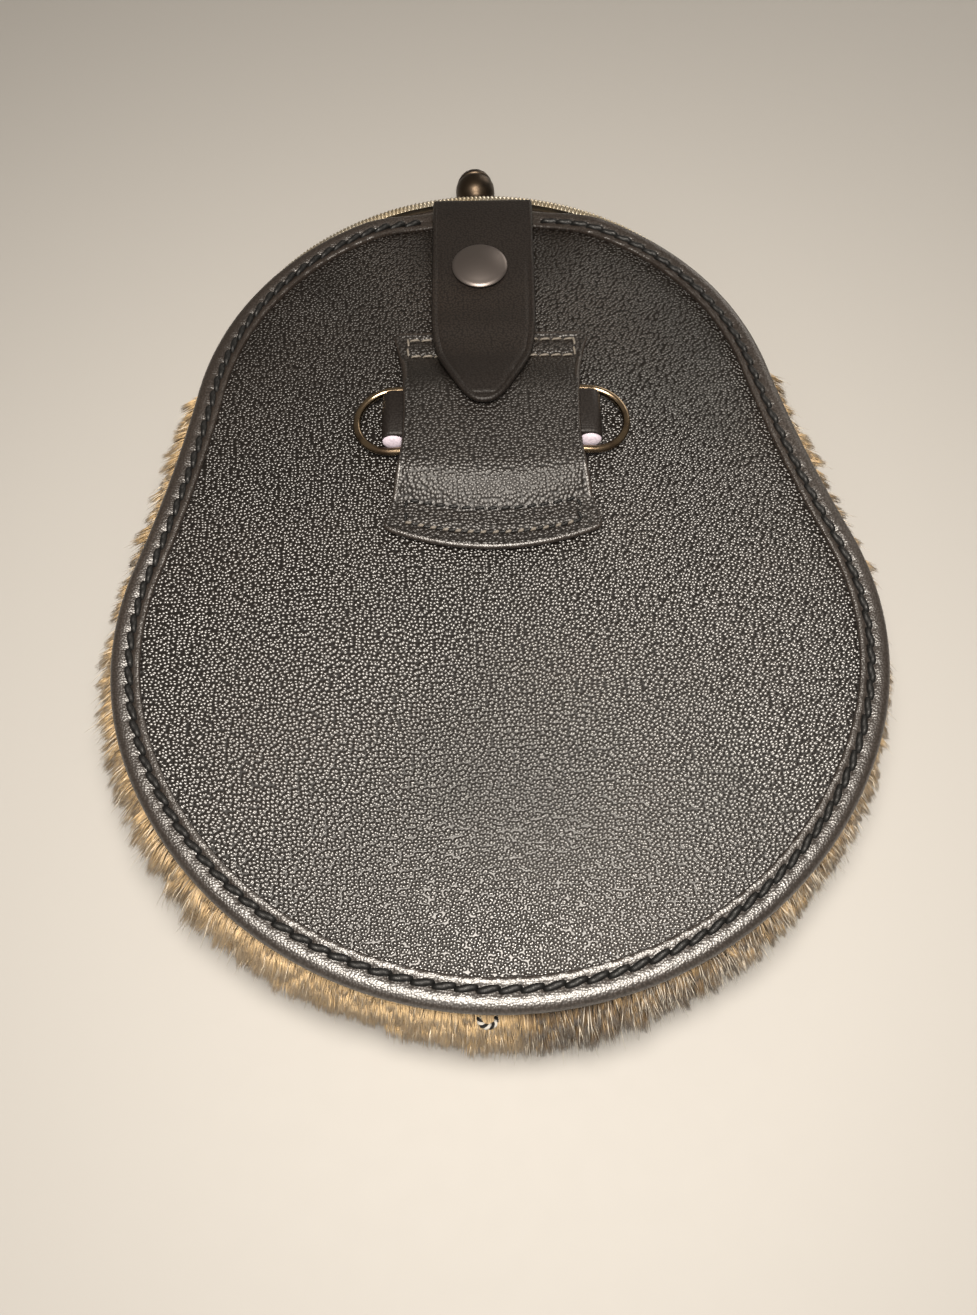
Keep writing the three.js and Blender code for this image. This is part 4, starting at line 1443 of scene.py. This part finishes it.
def ring_strap(colours):
    """Doubled strap under the belt loop: its round ends hold the rings, and its cut ends carry a painted
    highlight.
    """
    r = STRAP["thick"] / 2
    straight = STRAP["half"] - r
    turn = np.linspace(-90, 90, 13)
    right = [(straight + r * math.cos(math.radians(a)), r + r * math.sin(math.radians(a))) for a in turn]
    top = [(STRAP["shoulder"], STRAP["thick"]), (STRAP["shoulder"] - 3, STRAP["middle"])]
    under = [(0.0, 0.0), (10.0, 0.0), (18.0, 0.0)]
    over = [(18.0, STRAP["thick"]), *top, (0.0, STRAP["middle"])]
    half = [*under, *right, *over]
    section = half + [(-u, w) for u, w in half[::-1]][1:-1]
    u, w = np.array(section).T
    rows = []
    low, high = STRAP["v"] - STRAP["wide"] / 2, STRAP["v"] + STRAP["wide"] / 2
    rounding = ((0, 0.45), (0.25, 0.12), (0.7, 0))
    edges = [(low + inset, shrink) for inset, shrink in rounding]
    edges += [(high - inset, shrink) for inset, shrink in rounding[::-1]]
    for v, shrink in edges:
        squeeze = 1 - shrink / STRAP["half"]
        cut = STRAP_SLANT * (w / STRAP["thick"]) * (v < STRAP["v"])
        lift = r + (w - r) * (1 - shrink / r)
        rows.append(sewn(u * squeeze, v + cut, STRAP_LIFT + lift))
    piece = swept("ring_strap_leather", rows, capped=True)
    return dress(piece, dull_calf(colours), replaces=["ring_strap"])


def strap_ends(colours):
    """Cut ends of the folded strap, beside the belt loop, each bulging a little and pale as a painted
    highlight.
    """
    sides = 28
    middle, wide, high = 24.5, 2.75, 1.7
    turn = np.arange(sides) / sides * 2 * math.pi
    low = STRAP["v"] - STRAP["wide"] / 2
    # Share of the end's size, and how far it bulges there
    dome = ((1, -0.3), (1, 0.0), (0.9, 0.35), (0.65, 0.58), (0.3, 0.7), (0, 0.72))
    for name, side in (("left", -1), ("right", 1)):
        rings = []
        for size, bulge in dome:
            u = side * middle + wide * size * np.cos(turn)
            w = wide + high * size * np.sin(turn)
            v = low + STRAP_SLANT * (w - STRAP_LIFT) / STRAP["thick"] - bulge
            rings.append(sewn(u, v, w))
        piece = swept("strap_cut_end_" + name, rings, capped=True)
        dress(piece, highlit_cut_leather(colours))


# D ring: radius of its wire, place of its bar, room inside, radius of its corners, and straight legs
RING = {"wire": 1.0, "bar": 20.0, "inside": 16.4, "corner": 1.8, "leg": 4.9}


def ring_line(steps):
    """Middle line of a D ring lying flat, with its bar along Y."""
    high = RING["inside"] / 2 + RING["wire"]
    corner, leg = RING["corner"], RING["leg"]
    bow = np.radians(np.linspace(-90, 90, steps))
    bend = np.radians(np.linspace(180, 270, 8))
    low_bend = np.stack((corner + corner * np.cos(bend), corner - high + corner * np.sin(bend)), 1)
    arc = np.stack((leg + high * np.cos(bow), high * np.sin(bow)), 1)
    high_bend = np.stack((low_bend[:, 0], -low_bend[:, 1]), 1)[::-1]
    bar = np.stack((np.zeros(5), np.linspace(high - corner, corner - high, 7)[1:-1]), 1)
    return np.concatenate((low_bend, arc, high_bend, bar))


def d_ring(name, side, colours, sizes):
    """One wire ring in an end of the strap, its round end lying on the leather."""
    bar_w = STRAP_LIFT + STRAP["thick"] / 2
    reach = RING["leg"] + RING["inside"] / 2 + RING["wire"]
    clear = 0.3
    droop = math.asin((bar_w - RING["wire"] - clear) / reach)
    steps, sides = 40, 16
    line = ring_line(steps)
    u = side * (RING["bar"] + line[:, 0] * math.cos(droop))
    w = bar_w - line[:, 0] * math.sin(droop)
    path = sewn(u, STRAP["v"] + line[:, 1] * side, w)
    rings = tube_rings(path, sizes.ring_wire / MM / 2, sides, loop=True)
    piece = swept(name + "_wire", rings, loop=True)
    body = "left_ring" if side < 0 else "right_ring"
    return dress(piece, bronze_wire(colours), body=body, replaces=[name])


# Closing tab and stud

# Press stud: its place across and along, radius, height of its seat above the back, rise of its dome
SNAP = {"u": -2.7, "v": 51.6, "r": 7.5, "seat": 2.25, "dome": 1.1, "sides": 56}

# Tab: the crease inside its edge, which fades out towards the fold, and the dish round the stud.
# A spread is the square of a width.
TAB_CREASE = {"deep": 0.22, "inside": 1.3, "spread": 0.12, "ends": 60.0, "fades": 12.0}
TAB_DISH = {"deep": 0.075, "spread": 60.0}

# Place of the tab's middle across, and the half width that its grid is laid out for
TAB_U = -1.8
TAB_HALF = 13.5
TAB_ROWS = [
    # along, middle of the thickness above the back, half width
    (83.5, -20, 13.5),
    (83.5, -15, 13.5),
    (82.6, -11.5, 13.5),
    (80.6, -7.2, 13.5),
    (79.8, -4.2, 13.5),
    (79.5, -2.2, 13.5),
    (78.2, -0.8, 13.5),
    (76.3, -0.3, 13.5),
    (71, 0.4, 13.5),
    (60, 0.4, 13.5),
    (52, 1.15, 13.5),
    (44, 1.15, 13.5),
    (37, 1.7, 13.4),
    (31, 3.1, 13.2),
    (25, 3.3, 12.6),
    (20, 4.1, 11.5),
    (15, 6.3, 9.8),
    (10, 8, 7.6),
    (6.2, 8.4, 5.4),
    (4.2, 8.5, 3.7),
    (3.2, 8.5, 2.2),
    (2.9, 8.5, 0.9),
]


def closing_tab(colours):
    """Tab that comes out of the mouth, folds over the edge and narrows to a creased, rounded tip."""
    rows = curve_through(TAB_ROWS, 150)
    along = np.gradient(rows[:, :2], axis=0)
    along /= np.linalg.norm(along, axis=1, keepdims=True)
    v = rows[:, 0] + along[:, 1] * LEATHER_T / 2
    w = rows[:, 1] - along[:, 0] * LEATHER_T / 2
    half = np.maximum(rows[:, 2], 0.5)
    margin = np.array((0.0, 0.35, 0.7, 1.05, 1.4, 1.9, 2.6))
    share = np.concatenate((margin, np.linspace(4, TAB_HALF, 9))) / TAB_HALF
    across = np.concatenate((-1 + share[:-1], [0.0], 1 - share[:-1][::-1]))
    t = across[None]
    from_edge = np.minimum((1 - np.abs(t)) * half[:, None], 0.75 * (v - v[-1])[:, None] + 0.2)
    # The crease follows the edge and fades out towards the fold
    fade = smooth_step(TAB_CREASE["ends"] - v, 0, TAB_CREASE["fades"])[:, None]
    crease = TAB_CREASE["deep"] * hump(from_edge, TAB_CREASE["inside"], TAB_CREASE["spread"]) * fade
    # The stud draws the leather in round it
    dish = TAB_DISH["deep"] * (1 - t**2) * hump(v, SNAP["v"], TAB_DISH["spread"])[:, None]
    grid = sewn(TAB_U + t * half[:, None], v[:, None], w[:, None] - crease - dish)
    shown = rows[rows[:, 1] > -10]
    narrowest = 0.5
    tip = np.linspace(-1, 1, 7)[1:-1] * narrowest
    sunk = np.maximum(shown[:, 2] - EDGE_SINK, narrowest)
    edge_u = np.concatenate((-sunk, tip, sunk[::-1]))
    edge_v, edge_w = (
        np.concatenate((shown[:, k], np.full(len(tip), shown[-1, k]), shown[::-1, k])) for k in (0, 1)
    )
    rolled_edge("closing_tab_edge", sewn(TAB_U + edge_u, edge_v, edge_w), dull_calf(colours))
    piece = slab("closing_tab_leather", grid[::-1], LEATHER_T, CUT_ROUNDING)
    return dress(piece, dull_calf(colours), replaces=["closing_tab"])


def snap_cap(colours):
    """Cap of the press stud: a low dome with a rolled edge, and its post."""
    seat, r, dome = SNAP["seat"], SNAP["r"], SNAP["dome"]
    profile = [
        # height, radius: post, underside, rolled edge
        (0.3, 0),
        (0.3, 2.5),
        (seat - 0.1, 2.5),
        (seat - 0.1, r - 0.7),
        (seat, r - 0.3),
        (seat + 0.3, r),
        (seat + 0.62, r - 0.02),
        (seat + 0.95, r - 0.35),
        (seat + 1.1, r - 0.75),
    ]
    for k in (0.95, 0.85, 0.7, 0.5, 0.3, 0.12, 0):
        profile.append((seat + 1.1 + dome * (1 - k * k), (r - 0.9) * k))
    centre = sewn(SNAP["u"], SNAP["v"], 0.0)
    piece = swept("snap_cap_metal", lathe_rings(profile, centre, (0, 0, 1), SNAP["sides"]))
    return dress(piece, dark_nickel(colours), replaces=["snap_cap"])


def loose_thread(colours):
    """Short end of black twisted thread that hangs in a bow under the binding at the foot, one ply pale as a
    painted highlight.
    """
    x, y, z = -7.0, FOOT_Y + SHIFT_Y - 0.2, 28.4
    half, hang, lift = 1.8, 1.5, 0.5
    turn = np.linspace(-0.2, math.pi + 0.2, 60)
    bow = np.stack((x - half * np.cos(turn), y - hang * np.sin(turn), z + lift * np.sin(turn)), 1)
    wind = np.linspace(0, 7 * math.pi, len(turn))
    away = np.stack((-np.cos(turn), -np.sin(turn), np.zeros(len(turn))), 1)
    plies = (
        ("loose_thread_black", 0.0, "waxed_thread", colours.thread),
        # The pale ply is a painted highlight on the black thread
        ("loose_thread_glint", math.pi, "glint_thread", linear("#aaa7a1")),
    )
    apart, radius, sides = 0.28, 0.33, 8
    for name, start, thread, tone in plies:
        twist = away * np.cos(wind + start)[:, None] + np.outer(np.sin(wind + start), (0, 0, 1))
        piece = swept(name, tube_rings(bow + apart * twist, radius, sides), capped=True)
        dress(piece, waxed_thread(thread, tone))


# Stage

LAMP_COLOUR = "#fff6ea"
AIR = {"colour": "#d5cbbd", "strength": 0.34}
FLOOR = {"side": 6.0, "cells": 12}


def stage(colours):
    """Pale floor, soft lights and the photograph's camera."""
    clear_selection()
    cells = FLOOR["cells"]
    bpy.ops.mesh.primitive_grid_add(x_subdivisions=cells, y_subdivisions=cells, size=FLOOR["side"])
    floor = bpy.context.object
    floor.name = floor.data.name = "studio_floor"
    floor.data.materials.append(painted_board(colours))
    lamps = [
        # name, place, target, size and power
        ("key_light", (0.0, -0.105, 0.4), (0.0, -0.03, 0.0), 0.2, 3.4),
        ("front_fill", (-0.3, -1.5, 1.5), (0.0, 0.0, 0.0), 1.4, 7.0),
        ("back_fill", (0.9, 1.3, 0.5), (0.0, 0.0, 0.0), 0.9, 5.0),
    ]
    for name, at, to, size, power in lamps:
        bpy.ops.object.light_add(type="AREA", location=at)
        lamp = bpy.context.object
        lamp.name = lamp.data.name = name
        lamp.data.shape = "DISK"
        lamp.data.size = size
        lamp.data.energy = power
        lamp.data.color = linear(LAMP_COLOUR)[:3]
        lamp.rotation_euler = (Vector(to) - Vector(at)).to_track_quat("-Z", "Y").to_euler()
        lamp.visible_camera = False
    world = bpy.data.worlds.new("studio_air")
    world.use_nodes = True
    background = world.node_tree.nodes["Background"].inputs
    background["Color"].default_value = linear(AIR["colour"])
    background["Strength"].default_value = AIR["strength"]
    bpy.context.scene.world = world
    bpy.context.scene.view_settings.view_transform = "Standard"
    at, to = Vector(CAMERA["at"]) * MM, Vector(CAMERA["to"]) * MM
    bpy.ops.object.camera_add(location=at)
    camera = bpy.context.object
    camera.name = "photo_camera"
    facing = (to - at).to_track_quat("-Z", "Y").to_matrix() @ Matrix.Rotation(CAMERA["roll"], 3, "Z")
    camera.rotation_euler = facing.to_euler()
    camera.data.sensor_width = CAMERA["sensor"]
    camera.data.lens = CAMERA["sensor"] * CAMERA["focal_px"] / CAMERA["long_side_px"]
    camera.data.clip_start = 0.01
    bpy.context.scene.camera = camera


# Operators, panel and registration


class SporranOperator:
    """What the operators share: they read the scene's sizes and colours, and build."""

    bl_options = {"REGISTER", "UNDO"}

    def execute(self, context):
        self.build(context.scene.sporran_colours, context.scene.sporran_sizes)
        return {"FINISHED"}


class SPORRAN_OT_stage(SporranOperator, bpy.types.Operator):
    """Set the floor, lights and camera."""

    bl_idname = "sporran.stage"
    bl_label = "Stage"

    def build(self, colours, sizes):
        stage(colours)


class SPORRAN_OT_back(SporranOperator, bpy.types.Operator):
    """Model the leather back."""

    bl_idname = "sporran.back"
    bl_label = "Leather back"

    def build(self, colours, sizes):
        leather_back(colours, sizes)


class SPORRAN_OT_binding(SporranOperator, bpy.types.Operator):
    """Model the binding and its stitching."""

    bl_idname = "sporran.binding"
    bl_label = "Binding"

    def build(self, colours, sizes):
        leather_binding(colours, sizes)
        edge_stitching(colours, sizes)
        loose_thread(colours)


class SPORRAN_OT_fur(SporranOperator, bpy.types.Operator):
    """Model the hide and its fur."""

    bl_idname = "sporran.fur"
    bl_label = "Fur front"

    def build(self, colours, sizes):
        hide()
        fur_wool(colours)
        end = fur_spread()
        quarters = ("left_flank", "left_foot", "right_foot", "right_flank")
        for i, quarter in enumerate(quarters):
            first = -end + i * end / 2
            side_fur("fur_" + quarter, first, first + end / 2, colours, sizes, 11 + i)
        belly_fur(colours, sizes)


class SPORRAN_OT_cantle(SporranOperator, bpy.types.Operator):
    """Model the metal cantle."""

    bl_idname = "sporran.cantle"
    bl_label = "Cantle"

    def build(self, colours, sizes):
        cantle(colours, sizes)


class SPORRAN_OT_knob(SporranOperator, bpy.types.Operator):
    """Model the knob on the cantle."""

    bl_idname = "sporran.knob"
    bl_label = "Knob"

    def build(self, colours, sizes):
        turned_knob(colours)


class SPORRAN_OT_belt_loop(SporranOperator, bpy.types.Operator):
    """Model the belt loop and its stitching."""

    bl_idname = "sporran.belt_loop"
    bl_label = "Belt loop"

    def build(self, colours, sizes):
        belt_loop(colours, sizes)
        loop_edge(colours)
        loop_stitching(colours, sizes)


class SPORRAN_OT_rings(SporranOperator, bpy.types.Operator):
    """Model the ring strap and its two D rings."""

    bl_idname = "sporran.rings"
    bl_label = "Ring strap and rings"

    def build(self, colours, sizes):
        ring_strap(colours)
        strap_ends(colours)
        d_ring("d_ring_left", -1, colours, sizes)
        d_ring("d_ring_right", 1, colours, sizes)


class SPORRAN_OT_closing_tab(SporranOperator, bpy.types.Operator):
    """Model the closing tab and its press stud."""

    bl_idname = "sporran.closing_tab"
    bl_label = "Closing tab"

    def build(self, colours, sizes):
        closing_tab(colours)
        snap_cap(colours)


OPERATORS = (
    SPORRAN_OT_stage,
    SPORRAN_OT_back,
    SPORRAN_OT_binding,
    SPORRAN_OT_fur,
    SPORRAN_OT_cantle,
    SPORRAN_OT_knob,
    SPORRAN_OT_belt_loop,
    SPORRAN_OT_rings,
    SPORRAN_OT_closing_tab,
)


class SPORRAN_PT_pieces(bpy.types.Panel):
    """Lists the sporran's sizes, colours and pieces."""

    bl_idname = "SPORRAN_PT_pieces"
    bl_label = "Sporran"
    bl_space_type = "VIEW_3D"
    bl_region_type = "UI"
    bl_category = "Sporran"

    def draw(self, context):
        for group in (context.scene.sporran_sizes, context.scene.sporran_colours):
            box = self.layout.box()
            for key in group.__annotations__:
                box.prop(group, key)
        for operator in OPERATORS:
            self.layout.operator(operator.bl_idname)


CLASSES = (SporranSizes, SporranColours, *OPERATORS, SPORRAN_PT_pieces)


def register():
    for item in CLASSES:
        bpy.utils.register_class(item)
    bpy.types.Scene.sporran_sizes = bpy.props.PointerProperty(type=SporranSizes)
    bpy.types.Scene.sporran_colours = bpy.props.PointerProperty(type=SporranColours)


def unregister():
    del bpy.types.Scene.sporran_colours
    del bpy.types.Scene.sporran_sizes
    for item in reversed(CLASSES):
        bpy.utils.unregister_class(item)


def main():
    register()
    bpy.ops.sporran.stage()
    bpy.ops.sporran.back()
    bpy.ops.sporran.binding()
    bpy.ops.sporran.fur()
    bpy.ops.sporran.cantle()
    bpy.ops.sporran.knob()
    bpy.ops.sporran.belt_loop()
    bpy.ops.sporran.rings()
    bpy.ops.sporran.closing_tab()


if __name__ == "__main__":
    main()
